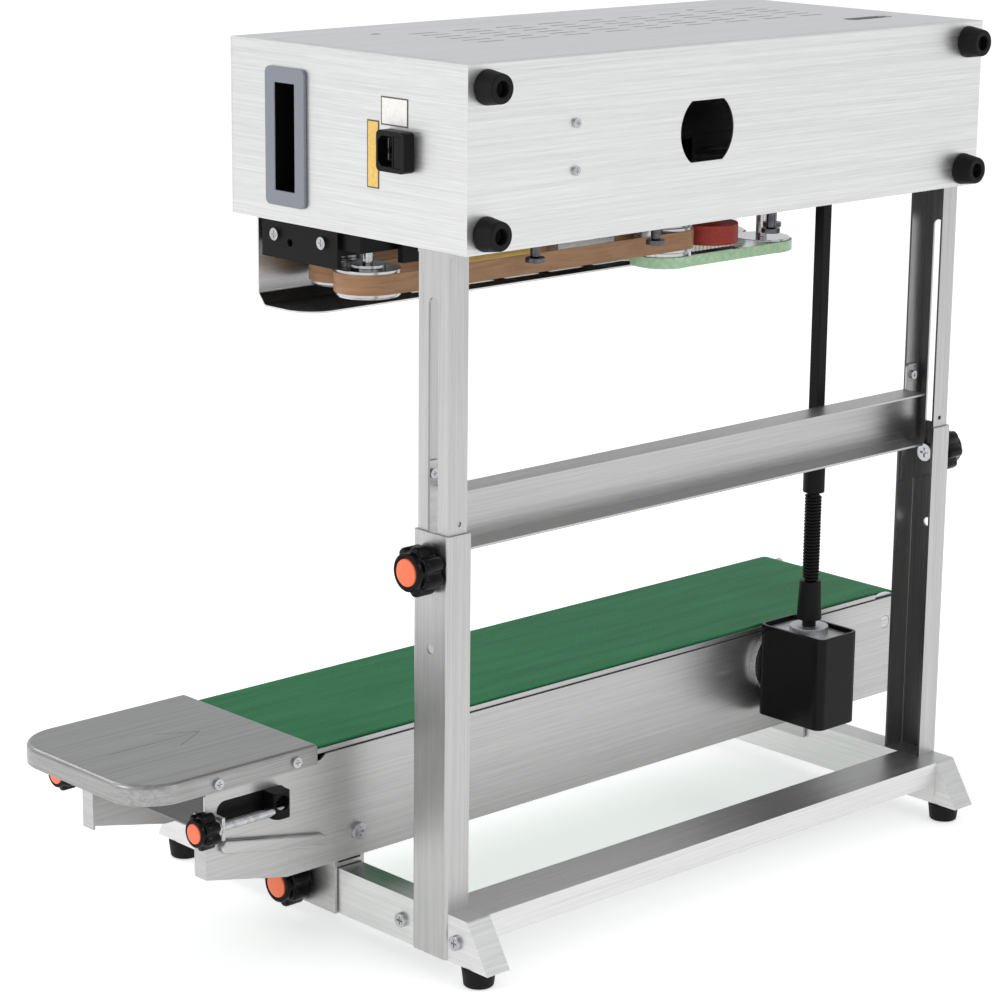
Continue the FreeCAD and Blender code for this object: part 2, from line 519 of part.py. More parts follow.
    bracket = box(238, 290, -70, 23, 553, HEAD_LOW)
    for way, y in (("back", BACK_Y), ("front", FRONT_Y)):
        bracket = bracket.cut(rod(INFEED_PULLEY_X[way], y, 550, 6, 30))
    end_plate = box(286, 290, -70, 23, 543, 553)
    arm = box(206, 250, 48, 54, 548, HEAD_LOW)
    link = box(228, 236, 46, 48, 560, 570)
    bracket = join(bracket, end_plate)
    bracket = bracket.cut(rod(280, -35, 557, 3, 20, X))
    for y in (-52.4, 5.5):
        bracket = bracket.cut(rod(282, y, 562, 2.5 + RUN, 12, X))
        add("head_fasteners", screw(290, y, 562, X, 5.0, 2.6, 2.5, 7))
    pin = rod(216, 54, 556, 3.5, 6, Y)
    ear = box(228, 286, 23, 46, 558, HEAD_LOW)
    ear = ear.cut(rod(INFEED_PULLEY_X["back"], BACK_Y, 550, 6, 30))
    add("belt_end_bracket", bracket, join(ear, arm, link), pin)

    for x, y in ((-166.0, 62.0), (-140.0, 84.0), (118.0, 64.0), (-20.0, 64.0)):
        post = rod(x, y, 540, 4, DECK_LOW - 540)
        nut = rod(x, y, 536, 8, 4)
        add("head_fasteners", join(post, nut))

    guard_y = -76.0
    low = 501.5
    skin = [(guard_y, HEAD_LOW, 0), (guard_y, low + 10, 4), (guard_y + 8, low, 4), (LINE_Y - 6, low, 0),
            (LINE_Y - 6, low + SHEET, 0), (guard_y + 9, low + SHEET, 3), (guard_y + SHEET, low + 10.5, 3),
            (guard_y + SHEET, HEAD_LOW, 0)]
    guard = plate_x(skin, -270, 290)
    corner = 26.0
    trim = box(290 - corner, 291, LINE_Y - 6 - corner, LINE_Y, low - 1, low + 4)
    trim = trim.cut(rod(290 - corner, LINE_Y - 6 - corner, low - 2, corner, 8))
    guard = guard.cut(trim)
    for slot in range(9):
        x = -220 + slot * 52.0
        guard = guard.cut(plate_z(rounded(x - 20, x + 20, -48, -44, 1.99), low - 2, low + 4))
        guard = guard.cut(plate_z(rounded(x - 20, x + 20, -36, -32, 1.99), low - 2, low + 4))
    lip = box(-270, 290, guard_y + SHEET, guard_y + 5.5, HEAD_LOW - SHEET, HEAD_LOW)
    add("front_guard", join(guard, lip))
    return deck


def gear(x, y, r, phase):
    """Spur gear with trapezoid teeth; its mate's teeth are half a pitch round."""
    teeth = 27
    points = []
    pitch = 2 * math.pi / teeth
    for tooth in range(teeth):
        start = (tooth + phase) * pitch
        for share, radius in ((0.0, r - 2.2), (0.34, r - 2.2), (0.44, r + 1.6), (0.78, r + 1.6), (0.88, r - 2.2)):
            turn = start + (share - 0.61) * pitch
            points.append((x + radius * math.cos(turn), y + radius * math.sin(turn), 0))
    return plate_z(points, GEAR_Z, GEAR_Z + GEAR_H)


# ---------- drive ----------
def make_drive(deck):
    deck_top = DECK_LOW + DECK_T
    x, y = MOTOR_X, MOTOR_Y
    can_low = deck_top + 27
    can = join(rod(x, y, can_low + 24, 27, 60), box(x - 32, x + 32, y - 32, y + 32, can_low, can_low + 24))
    can = can.cut(rod(x, y, can_low - 1, 5 + RUN, 12))
    shaft = rod(x, y, CHAIN_Z - 1, 5, can_low + 10 - CHAIN_Z + 1)
    motor_wheel = rod(x, y, CHAIN_Z, WHEEL_R, CHAIN_H)
    legs = [rod(x + dx, y + dy, deck_top, 2.4, can_low - deck_top) for dx in (-28, 28) for dy in (-29.5, 29.5)]
    add("drive_motor", can, *legs)
    add("motor_sprocket", join(shaft, motor_wheel))

    square = box(SHAFT_X - TUBE_HALF - 0.2, SHAFT_X + TUBE_HALF + 0.2, SHAFT_Y - TUBE_HALF - 0.2,
                 SHAFT_Y + TUBE_HALF + 0.2, HEAD_LOW, HEAD_TOP)
    hub = join(rod(SHAFT_X, SHAFT_Y, deck_top + 1, 13, 22), rod(SHAFT_X, SHAFT_Y, CHAIN_Z, HUB_WHEEL_R, CHAIN_H))
    add("drive_hub", hub.cut(square))
    bearing = ring(SHAFT_X, SHAFT_Y, deck_top, 17, 13 + RUN, 12)
    add("mechanism_plate", deck, bearing)
    chain = belt([(SHAFT_X, SHAFT_Y, HUB_WHEEL_R), (SPINDLE_X, BACK_Y, WHEEL_R), (x, y, WHEEL_R)],
                 GAP, 4, CHAIN_Z, CHAIN_H)
    add("drive_chain", chain)

    frame = plate_z(rounded(FAN_X - 27, FAN_X + 27, FAN_Y - 27, FAN_Y + 27, 4), deck_top, deck_top + 15)
    frame = frame.cut(rod(FAN_X, FAN_Y, deck_top - 1, 23, 14))
    frame = frame.cut(ring(FAN_X, FAN_Y, deck_top + 10, 23, 11, 10))
    frame = join(frame, box(FAN_X - 25, FAN_X + 25, FAN_Y - 2, FAN_Y + 2, deck_top + 13, deck_top + 15))
    rotor = rod(FAN_X, FAN_Y, deck_top + 1, 9, 11.5)
    for blade in range(7):
        vane = box(FAN_X + 8, FAN_X + 22, FAN_Y - 0.6, FAN_Y + 0.6, deck_top + 2, deck_top + 11)
        vane.rotate(V(FAN_X, FAN_Y, 0), Z, 360 / 7 * blade)
        rotor = rotor.fuse(vane)
    add("cooling_blocks", frame)
    add("cooling_fan", rotor.removeSplitter())

    tube = box(SHAFT_X - TUBE_HALF, SHAFT_X + TUBE_HALF, SHAFT_Y - TUBE_HALF, SHAFT_Y + TUBE_HALF,
               TUBE_LOW - 6, TUBE_TOP)
    tube = tube.cut(box(SHAFT_X - 3.8, SHAFT_X + 3.8, SHAFT_Y - 3.8, SHAFT_Y + 3.8, TUBE_LOW + 4, TUBE_TOP + 1))
    sleeve = rod(SHAFT_X, SHAFT_Y, COIL_TOP, 9.5, TUBE_LOW - COIL_TOP)
    add("drive_tube", join(tube, sleeve))

    pitch, turns = 4.0, int((COIL_TOP - COIL_LOW) / 4.0)
    core = rod(SHAFT_X, SHAFT_Y, COIL_LOW, 6.0, COIL_TOP - GAP - COIL_LOW)
    for turn in range(turns):
        core = core.fuse(rod(SHAFT_X, SHAFT_Y, COIL_LOW + turn * pitch + 0.6, 7.6, 2.6))
    add("flexible_coupling", core.removeSplitter())
    lower = Part.makeCone(11, 9.5, COIL_LOW - GEARBOX_TOP - 8, V(SHAFT_X, SHAFT_Y, GEARBOX_TOP + 8), Z)
    add("gearbox_input", join(lower, rod(SHAFT_X, SHAFT_Y, GEARBOX_TOP - 6, 6, 16)))


# ---------- conveyor ----------
def make_conveyor():
    half = CONV_W / 2
    back, front = LINE_Y + half, LINE_Y - half
    chamfer_x, chamfer_z = 384.0, 99.0
    skin = [(SIDE_OUTFEED, SIDE_LOW, 4), (chamfer_x, SIDE_LOW, 6), (SIDE_INFEED, chamfer_z, 0),
            (SIDE_INFEED, 168.0, 3), (INFEED_PLATE_X0 - 6, SIDE_TOP - 4, 0), (INFEED_PLATE_X0 - 12, SIDE_TOP, 0),
            (SIDE_OUTFEED, SIDE_TOP, 4)]
    side = plate_y(skin, back - PLATE, back)
    slot_half = 8.0
    slot = rounded(INFEED_X - 16, INFEED_X + 52, ROLLER_Z - slot_half, ROLLER_Z + slot_half, slot_half - 0.01)
    side = side.cut(plate_y(slot, back - 5, back + 5))
    for x, z in ((OUTFEED_X, ROLLER_Z), (SHAFT_X, DRIVE_Z)):
        side = side.cut(rod(x, back - 5, z, 6 + RUN, 10, Y))
    end = box(SIDE_INFEED - PLATE, SIDE_INFEED, back - 14, back, chamfer_z, 150)
    lip = box(SIDE_OUTFEED + 8, chamfer_x - 10, back - 14, back, SIDE_LOW, SIDE_LOW + PLATE)
    lug_x = SIDE_INFEED - 6
    rod_y = back + TENSION_OUT
    lug = box(lug_x, lug_x + 3, back - 0.5, back + 17, TENSION_Z - 9, TENSION_Z + 9)
    slope = math.degrees(math.atan2(19, 102))
    rib = plate_y(rounded(-51, 51, -4, 4, 3.9), back - 0.5, back + 1.8)
    rib.rotate(V(0, 0, 0), Y, -slope)
    rib.translate(V(SIDE_INFEED - 64, 0, 114))
    side = join(side, end, lip, lug, rib)
    side = side.cut(rod(lug_x - 2, rod_y, TENSION_Z, 4 + RUN, 8, X))
    side = side.cut(rod(312, back - 5, 103, 3 + RUN, 10, Y))
    side = side.cut(rod(-270, back - 5, 103, 3 + RUN, 10, Y))
    add("conveyor_side_back", side)
    add("conveyor_side_front", side.mirror(V(0, LINE_Y, 0), Y))

    bed = box(OUTFEED_X + ROLLER_R - 16, INFEED_X - ROLLER_R - 8, front + PLATE, back - PLATE,
              174.5, BELT_TOP - BELT_T - GAP)
    bed = bed.cut(box(OUTFEED_X, INFEED_X, front + PLATE + 1.2, back - PLATE - 1.2, 170, 177.0))
    members = []
    for x in (-270.0, 312.0):
        member = box(x - 12, x + 12, front + PLATE, back - PLATE, 91, 115)
        member = member.cut(box(x - 10, x + 10, front, back, 93, 113))
        for y in (front + PLATE, back - PLATE - 4):
            block = box(x - 10, x + 10, y, y + 4, 93, 113)
            members.append(block.cut(rod(x, y - 1, 103, 3 + RUN, 6, Y)))
        members.append(member)
        for y, way in ((back, 1), (front, -1)):
            add("conveyor_screws", screw(x, y, 103, Y * way, 7.0, 4.0, 3.0, PLATE + 8))
    add("conveyor_bed", bed, *members)

    band = belt([(OUTFEED_X, 0, ROLLER_R), (INFEED_X, 0, ROLLER_R)], 0.05, BELT_T - 0.05, 0, BELT_W)
    band.rotate(V(0, 0, 0), X, 90)
    band.translate(V(0, LINE_Y + BELT_W / 2, ROLLER_Z))
    add("conveyor_belt", band)

    roll = rod(OUTFEED_X, LINE_Y - BELT_W / 2, ROLLER_Z, ROLLER_R, BELT_W, Y)
    axle = rod(OUTFEED_X, LINE_Y - half, ROLLER_Z, 6, CONV_W, Y)
    add("outfeed_roller", join(roll, axle))
    roll = rod(SHAFT_X, LINE_Y - BELT_W / 2, DRIVE_Z, DRIVE_R - 0.05, BELT_W, Y)
    axle = rod(SHAFT_X, LINE_Y - half, DRIVE_Z, 6, CONV_W + 5.5, Y)
    add("drive_roller", join(roll, axle))
    roll = rod(INFEED_X, LINE_Y - BELT_W / 2, ROLLER_Z, ROLLER_R, BELT_W, Y)
    axle = rod(INFEED_X, LINE_Y - half - 4, ROLLER_Z, 6, CONV_W + 8, Y)
    add("infeed_roller", join(roll, axle))

    for way, name in ((1, "back"), (-1, "front")):
        face = LINE_Y + way * half
        rod_y = face + way * TENSION_OUT
        near, far = face + way * GAP, face + way * 16
        corners = [(INFEED_X - 9, near, 0), (INFEED_X + 7, near, 0), (INFEED_X + 7, far, 5), (INFEED_X - 9, far, 5)]
        block = plate_z(corners if way > 0 else corners[::-1], TENSION_Z - 6, ROLLER_Z + 8)
        block = block.cut(rod(INFEED_X, face - way * 2, ROLLER_Z, 6 + RUN, 20, Y * way))
        block = block.cut(rod(INFEED_X - 20, rod_y, TENSION_Z, 4 + RUN, 40, X))
        add("tension_blocks", block)
        stem = rod(INFEED_X - 7, rod_y, TENSION_Z, 4, SIDE_INFEED + 8 - INFEED_X + 7, X)
        washer = rod(lug_x + 3 + GAP, rod_y, TENSION_Z, 8, 4, X)
        body, cap = star_knob(SIDE_INFEED + 1, rod_y, TENSION_Z, 1, TENSION_SIZE)
        add("tension_knob_" + name, join(stem, washer, body), cap)

    top = INFEED_PLATE_TOP
    y0, y1 = LINE_Y - INFEED_PLATE_W / 2, LINE_Y + INFEED_PLATE_W / 2
    corner = 38.0
    shape = [(INFEED_PLATE_X0, y0, 3), (INFEED_PLATE_X1, y0, corner), (INFEED_PLATE_X1, y1, corner),
             (INFEED_PLATE_X0, y1, 3)]
    room = [(INFEED_PLATE_X0 - 5, y0 + PLATE, 0), (INFEED_PLATE_X1 - PLATE, y0 + PLATE, corner - PLATE),
            (INFEED_PLATE_X1 - PLATE, y1 - PLATE, corner - PLATE), (INFEED_PLATE_X0 - 5, y1 - PLATE, 0)]
    table = plate_z(shape, top - SKIRT, top)
    edges = [e for e in table.Edges if all(abs(v.Z - top) < 0.01 for v in e.Vertexes)
             and e.CenterOfMass.x > INFEED_PLATE_X0 + 1]
    table = table.makeFillet(4.0, edges).cut(plate_z(room, top - SKIRT - 1, top - PLATE))
    for x in (379.0, 455.0):
        for way, y in ((1, y1), (-1, y0)):
            table = table.cut(rod(x, y + way, 176.5, 2.5 + RUN, 4, Y * -way))
            add("conveyor_screws", screw(x, y, 176.5, Y * way, 4.4, 2.4, 2.5, 5))
            spacer_y0, spacer_y1 = sorted((y - way * PLATE, LINE_Y + way * half))
            spacer = box(x - 7, x + 7, spacer_y0, spacer_y1, 171, 182)
            add("infeed_plate", spacer.cut(rod(x, y + way, 176.5, 2.5 + RUN, 12, Y * -way)))
    add("infeed_plate", table)

    rail_clear = 0.6
    for side_way in (1, -1):
        x_out = RAIL_OUT + rail_clear
        x_in = RAIL_OUT - RAIL_W - rail_clear
        saddle = box(x_in - 3, x_out + 3, -30, 29, RAIL_TOP + rail_clear, SIDE_LOW + PLATE)
        saddle = saddle.cut(box(x_in + 1, x_out - 1, -31, 30, RAIL_TOP + 4, SIDE_LOW - 3))
        saddle = saddle.fuse(box(x_out, x_out + 2.5, -30, 29, 15.5, RAIL_TOP + 5))
        saddle = saddle.fuse(box(x_in - 3, x_in, -30, 29, 40, RAIL_TOP + 5)).removeSplitter()
        saddle = saddle.cut(rod(x_out - 2, RAIL_CLAMP_Y, RAIL_CLAMP_Z, 4 + RUN, 8, X))
        cross = box(x_in - 3, x_out + 3, front + PLATE, back - PLATE, SIDE_LOW + PLATE, SIDE_LOW + 9)
        saddle = join(saddle, cross)
        if side_way < 0:
            saddle = mirror_x(saddle)
        add("rail_clamps", saddle)
    body, cap = star_knob(RAIL_OUT + rail_clear + 3.5, RAIL_CLAMP_Y, RAIL_CLAMP_Z, 1)
    stud = rod(RAIL_OUT + GAP, RAIL_CLAMP_Y, RAIL_CLAMP_Z, 4, 5, X)
    add("clamp_knob", join(body, stud), cap)

    gx, gy = SHAFT_X, (GEARBOX_Y0 + GEARBOX_Y1) / 2
    x0, x1 = gx - GEARBOX_HALF, gx + GEARBOX_HALF
    skin = plate_z(rounded(x0, x1, GEARBOX_Y0, GEARBOX_Y1, 8), GEARBOX_LOW, GEARBOX_TOP)
    wall = 3.0
    core_shape = rounded(x0 + wall, x1 - wall, GEARBOX_Y0 + wall, GEARBOX_Y1 - wall, 5)
    cover = skin.cut(plate_z(core_shape, GEARBOX_LOW + wall, GEARBOX_TOP + 1))
    cover = cover.cut(rod(gx, GEARBOX_Y0 - 1, DRIVE_Z, 20, wall + 2, Y))
    core = plate_z(core_shape, GEARBOX_LOW + wall, GEARBOX_TOP - 4)
    flange = rod(gx, SHAFT_Y, GEARBOX_TOP - 4, 17, 6)
    core = join(core, flange, rod(gx, GEARBOX_Y0, DRIVE_Z, 19.5, wall, Y))
    core = join(core, rod(gx, back, DRIVE_Z, 28, GEARBOX_Y0 - back, Y))
    core = core.cut(rod(gx, back - 1, DRIVE_Z, 6 + RUN, 8, Y))
    core = core.cut(rod(gx, SHAFT_Y, GEARBOX_TOP - 7, 6 + RUN, 30))
    add("gearbox_housing", core)
    add("gearbox_cover", cover)


def save():
    os.makedirs("parts", exist_ok=True)
    centre = V((SIDE_OUTFEED + INFEED_PLATE_X1) / 2, (RAIL_FRONT + RAIL_BACK) / 2, 0)
    for name, solids in parts.items():
        shape = solids[0] if len(solids) == 1 else Part.makeCompound(solids)
        shape = shape.copy()
        shape.translate(centre * -1)
        shape.exportStep("parts/" + name + ".step")


make_stand()
make_upper_leg()
make_casing()
make_controls()
make_drive(make_mechanism())
make_conveyor()
save()
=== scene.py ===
# %% [markdown]
# # A continuous band sealer on its stand
# The machine closes plastic bags: a belt carries them under a steel head, where two brown bands
# press and heat the bag's neck. The engineering model already holds every solid in its true place,
# so this lesson loads it as a fixed frame, and adds what the eye needs: rounded sheet edges, knobs,
# screws, belts and the finish of each material.

# %% Load the frame
import json
import math

import bmesh
import bpy
from mathutils import Matrix, Vector

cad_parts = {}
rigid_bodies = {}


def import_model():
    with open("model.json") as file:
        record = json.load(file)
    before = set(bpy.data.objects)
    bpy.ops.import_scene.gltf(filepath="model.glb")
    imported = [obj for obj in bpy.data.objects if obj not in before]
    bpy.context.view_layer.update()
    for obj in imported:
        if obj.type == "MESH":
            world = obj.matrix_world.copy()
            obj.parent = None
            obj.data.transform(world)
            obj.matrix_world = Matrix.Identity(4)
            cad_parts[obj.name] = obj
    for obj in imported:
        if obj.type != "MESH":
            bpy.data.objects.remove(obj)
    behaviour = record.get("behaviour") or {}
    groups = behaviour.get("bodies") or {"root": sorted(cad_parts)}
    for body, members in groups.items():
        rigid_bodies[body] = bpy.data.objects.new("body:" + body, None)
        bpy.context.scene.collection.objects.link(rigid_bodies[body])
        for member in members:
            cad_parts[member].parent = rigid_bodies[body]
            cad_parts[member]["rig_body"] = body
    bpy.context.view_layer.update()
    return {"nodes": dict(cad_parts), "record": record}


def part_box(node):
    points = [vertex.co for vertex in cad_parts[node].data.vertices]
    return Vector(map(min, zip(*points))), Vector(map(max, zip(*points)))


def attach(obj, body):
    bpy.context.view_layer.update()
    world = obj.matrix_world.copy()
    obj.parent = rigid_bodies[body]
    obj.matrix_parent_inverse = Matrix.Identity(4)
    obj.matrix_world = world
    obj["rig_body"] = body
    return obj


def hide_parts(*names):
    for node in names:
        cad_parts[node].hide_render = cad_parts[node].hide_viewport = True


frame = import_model()

# %% [markdown]
# ## Camera
# The camera stands at the infeed end, behind the machine and a little above it. A long lens keeps
# the sheet edges nearly parallel, as in a catalogue view. Its direction is given by an azimuth, an
# elevation and a slight roll, so a rotation matrix is built from those three angles.

# %% Camera
AZIMUTH, ELEVATION, ROLL = math.radians(136.99), math.radians(14.15), math.radians(0.57)
CAMERA_PLACE = (1.6998, 1.8137, 0.9472)
FOCAL_LENGTH = 109.56
back = Vector((math.sin(AZIMUTH) * math.cos(ELEVATION), -math.cos(AZIMUTH) * math.cos(ELEVATION),
               math.sin(ELEVATION)))
right = Vector((0, 0, 1)).cross(back).normalized()
up = back.cross(right)
turn = Matrix.Rotation(ROLL, 3, back) @ Matrix((right, up, back)).transposed()
bpy.ops.object.camera_add(location=CAMERA_PLACE, rotation=turn.to_euler())
camera = bpy.context.object
camera.data.lens = FOCAL_LENGTH
camera.data.clip_end = 200
bpy.context.scene.camera = camera
bpy.context.scene.view_settings.view_transform = "Standard"
print("camera", [round(v, 3) for v in camera.location])

# %% [markdown]
# ## Studio
# Brushed steel shows whatever stands round it, so the room matters more than the lamps. The floor
# is a very wide white disc that gives off some light of its own, and the upright sheets reflect
# it. The sky is nearly white at the horizon and greyer overhead, so that level sheets come out a
# shade darker than upright ones. Three large soft lamps put highlights on the knobs.

# %% Sky
sky = bpy.data.worlds.new("studio_sky")
sky.use_nodes = True
bpy.context.scene.world = sky


def add(tree, kind, links=None, **settings):
    """Adds a node, sets its properties, and gives each named input a value or a link."""
    made = tree.nodes.new(kind)
    for name, value in settings.items():
        setattr(made, name, value)
    for name, value in (links or {}).items():
        if isinstance(value, bpy.types.NodeSocket):
            tree.links.new(value, made.inputs[name])
        else:
            made.inputs[name].default_value = value
    return made


def linear(code):
    """An sRGB hex colour as linear RGBA."""
    parts = [int(code[i:i + 2], 16) / 255 for i in (1, 3, 5)]
    return [c / 12.92 if c <= 0.04045 else ((c + 0.055) / 1.055) ** 2.4 for c in parts] + [1.0]


tree = sky.node_tree
toward = add(tree, "ShaderNodeTexCoord").outputs["Generated"]
height = add(tree, "ShaderNodeSeparateXYZ", {"Vector": toward}).outputs["Z"]
rise = add(tree, "ShaderNodeMapRange", {"Value": height, "From Min": 0.02, "From Max": 0.75},
           interpolation_type="SMOOTHSTEP").outputs["Result"]
tone = add(tree, "ShaderNodeMixRGB",
           {"Fac": rise, "Color1": linear("#f0f1f3"), "Color2": linear("#c9cacc")})
tree.links.new(tone.outputs["Color"], tree.nodes["Background"].inputs["Color"])
tree.nodes["Background"].inputs["Strength"].default_value = 1.0
print("sky nodes", len(tree.nodes))

# %% Floor and lamps
FLOOR_RADIUS, FLOOR_LEVEL = 60, -0.0005
bpy.ops.mesh.primitive_circle_add(vertices=128, radius=FLOOR_RADIUS, fill_type="NGON",
                                  location=(0, 0, FLOOR_LEVEL))
floor = bpy.context.object
floor.name = "studio_floor"
white = bpy.data.materials.new("white_floor_paint")
white.use_nodes = True
floor_look = {"Base Color": linear("#f4f4f4"), "Roughness": 0.9, "Specular IOR Level": 0.0,
              "Emission Color": linear("#ffffff"), "Emission Strength": 0.50}
for socket, value in floor_look.items():
    white.node_tree.nodes["Principled BSDF"].inputs[socket].default_value = value
floor.data.materials.append(white)


def lamp(place, target, size, watts):
    """A square soft lamp at a place, facing a target."""
    facing = (Vector(target) - Vector(place)).to_track_quat("-Z", "Y").to_euler()
    bpy.ops.object.light_add(type="AREA", location=place, rotation=facing)
    bpy.context.object.data.size = size
    bpy.context.object.data.energy = watts
    return bpy.context.object


LAMP_SIZE, MACHINE_MIDDLE = 1.2, (0, 0, 0.4)
for place, watts in (((2.4, -0.6, 1.7), 14), ((-0.6, 2.4, 2.0), 10), ((0.9, -2.4, 2.4), 12)):
    lamp(place, MACHINE_MIDDLE, LAMP_SIZE, watts)

# %% [markdown]
# ## Brushed steel
# Stainless sheet is drawn through abrasive rollers, which leaves fine parallel scratches. The
# scratches spread a reflection across the grain, and make the tone change in thin streaks. Noise
# stretched sixty to a hundred times along the grain gives both. The grain of each sheet follows its rolling
# direction, so each steel comes once for each axis. Real scratches are 0.1 mm wide; they are drawn
# 0.5 mm wide, as the finest that still shows.

# %% Helpers for finishes
def new_finish(name, **sockets):
    """A material, its tree, its shader with these socket values, and its Object coordinates."""
    finish = bpy.data.materials.new(name)
    finish.use_nodes = True
    shader = finish.node_tree.nodes["Principled BSDF"]
    for socket, value in sockets.items():
        shader.inputs[socket.replace("_", " ")].default_value = value
    where = add(finish.node_tree, "ShaderNodeTexCoord").outputs["Object"]
    return finish, finish.node_tree, shader, where


def blobs(tree, where, size, detail=3.0):
    """Noise whose blobs measure size = (x, y, z) metres, from 0 to 1."""
    scaled = add(tree, "ShaderNodeMapping", {"Vector": where, "Scale": [1 / s for s in size]})
    return add(tree, "ShaderNodeTexNoise",
               {"Vector": scaled.outputs["Vector"], "Scale": 1.0, "Detail": detail}).outputs["Fac"]


def paint(tree, shader, factor, dark, light):
    """Base colour that runs from dark to light with a factor."""
    spread = add(tree, "ShaderNodeMapRange", {"Value": factor, "From Min": 0.3, "From Max": 0.7})
    mixed = add(tree, "ShaderNodeMixRGB",
                {"Fac": spread.outputs["Result"], "Color1": linear(dark), "Color2": linear(light)})
    tree.links.new(mixed.outputs["Color"], shader.inputs["Base Color"])


def roughen(tree, shader, factor, low, high):
    """Roughness that runs from low to high with a factor."""
    spread = add(tree, "ShaderNodeMapRange",
                 {"Value": factor, "From Min": 0.3, "From Max": 0.7, "To Min": low, "To Max": high})
    tree.links.new(spread.outputs["Result"], shader.inputs["Roughness"])


def emboss(tree, shader, factor, depth, strength=1.0):
    """Bumps of a depth in metres."""
    bump = add(tree, "ShaderNodeBump", {"Height": factor, "Distance": depth, "Strength": strength})
    tree.links.new(bump.outputs["Normal"], shader.inputs["Normal"])


print("finish helpers ready")


# %% Brushed steel, one for each direction of grain
SCRATCH_WIDTH, SCRATCH_LENGTH = 0.0005, 0.030
STREAK_WIDTH, STREAK_LENGTH = 0.0016, 0.16


def brushed_steel(name, axis, dark, light, smoothest=0.30, roughest=0.46):
    """Stainless sheet with its grain along axis 0, 1 or 2."""
    finish, tree, shader, where = new_finish(name + "_" + "xyz"[axis], Metallic=1.0)
    scratch = [SCRATCH_WIDTH] * 3
    scratch[axis] = SCRATCH_LENGTH
    streak = [STREAK_WIDTH] * 3
    streak[axis] = STREAK_LENGTH
    fine = blobs(tree, where, scratch, detail=4.0)
    broad = blobs(tree, where, streak)
    both = add(tree, "ShaderNodeMath", {0: fine, 1: broad}, operation="ADD").outputs["Value"]
    half = add(tree, "ShaderNodeMath", {0: both, 1: 0.5}, operation="MULTIPLY").outputs["Value"]
    paint(tree, shader, half, dark, light)
    roughen(tree, shader, fine, smoothest, roughest)
    emboss(tree, shader, fine, 0.00005, 0.5)
    return finish


# Painted light and shade: one brushed steel in several tones, lightest on the head, darker on the stand,
# darker still on the level table plate.
lit_head_steel = [brushed_steel("head_steel_lit_copy", axis, "#cbcbca", "#e6e6e5") for axis in range(3)]
shaded_stand_steel = [brushed_steel("stand_steel_painted_shade", axis, "#aaaaa9", "#c6c6c4") for axis in range(3)]
shaded_plate_steel = [brushed_steel("table_steel_painted_shade", axis, "#868685", "#b0b0ae") for axis in range(3)]
# Painted shade: the darkest and roughest copy of the steel, for faces that see little light.
painted_shade_steel = [brushed_steel("inner_steel_painted_shade", axis, "#4c4c4c", "#686867", 0.40, 0.55)
              for axis in range(3)]
print([s[0].name for s in (lit_head_steel, shaded_stand_steel, shaded_plate_steel, painted_shade_steel)])

# %% [markdown]
# ## Other metals
# Screws and clamp rods are zinc plated and bright: smooth, with faint cloudiness. Pulleys are
# turned aluminium, which shows fine rings round the axis of the lathe. The gearbox is cast and
# machined aluminium, softer in tone. Brackets are painted black, with the fine pebble of powder
# paint, and chain, gears and motor are oiled dark steel. Heating blocks are brass.

# %% Bright zinc
zinc, tree, shader, where = new_finish("bright_zinc_plate", Metallic=1.0)
cloud = blobs(tree, where, (0.004, 0.004, 0.004))
paint(tree, shader, cloud, "#a4a5a7", "#c2c4c6")
roughen(tree, shader, cloud, 0.10, 0.24)
emboss(tree, shader, cloud, 0.00003)
print(zinc.name)

# %% Turned and cast aluminium
turned, tree, shader, where = new_finish("turned_aluminium", Metallic=1.0)
rings = blobs(tree, where, (0.05, 0.05, 0.0006))
paint(tree, shader, rings, "#a9aaac", "#d0d1d2")
roughen(tree, shader, rings, 0.12, 0.30)
emboss(tree, shader, rings, 0.00003)

cast, tree, shader, where = new_finish("cast_aluminium", Metallic=1.0)
pits = blobs(tree, where, (0.0015, 0.0015, 0.0015), detail=5.0)
paint(tree, shader, pits, "#a9abad", "#d2d4d5")
roughen(tree, shader, pits, 0.34, 0.52)
emboss(tree, shader, pits, 0.00012)
print(turned.name, cast.name)

# %% Black powder paint, brass and oiled steel
black_paint, tree, shader, where = new_finish("black_powder_paint", IOR=1.5, Specular_IOR_Level=0.12)
pebble = blobs(tree, where, (0.0009, 0.0009, 0.0009))
paint(tree, shader, pebble, "#080809", "#111112")
roughen(tree, shader, pebble, 0.32, 0.48)
emboss(tree, shader, pebble, 0.00008)

brass, tree, shader, where = new_finish("machined_brass", Metallic=1.0)
tool_marks = blobs(tree, where, (0.02, 0.0008, 0.0008))
paint(tree, shader, tool_marks, "#a68a4c", "#d3b878")
roughen(tree, shader, tool_marks, 0.25, 0.42)
emboss(tree, shader, tool_marks, 0.00004)

dark_steel, tree, shader, where = new_finish("oiled_dark_steel", Metallic=1.0)
film = blobs(tree, where, (0.006, 0.006, 0.006))
paint(tree, shader, film, "#4a4a4d", "#6f7074")
roughen(tree, shader, film, 0.22, 0.45)
emboss(tree, shader, film, 0.00005)
print(black_paint.name, brass.name, dark_steel.name)

# %% [markdown]
# ## Plastics and rubbers
# The knobs are glossy black ABS with a bright orange cap. The hand grips are grey-blue ABS with the
# fine leather of a spark-eroded mould. Feet are matt rubber, the pressing wheel is red silicone,
# and the driving belts are pale green polyurethane. All are dielectrics: a base colour under a
# clear reflection, told apart by roughness and by how the surface was moulded.

# %% Plastics
gloss_abs, tree, shader, where = new_finish("gloss_black_abs", IOR=1.53, Specular_IOR_Level=0.14)
flow = blobs(tree, where, (0.010, 0.010, 0.010))
paint(tree, shader, flow, "#030303", "#070708")
roughen(tree, shader, flow, 0.14, 0.24)
emboss(tree, shader, flow, 0.00010)

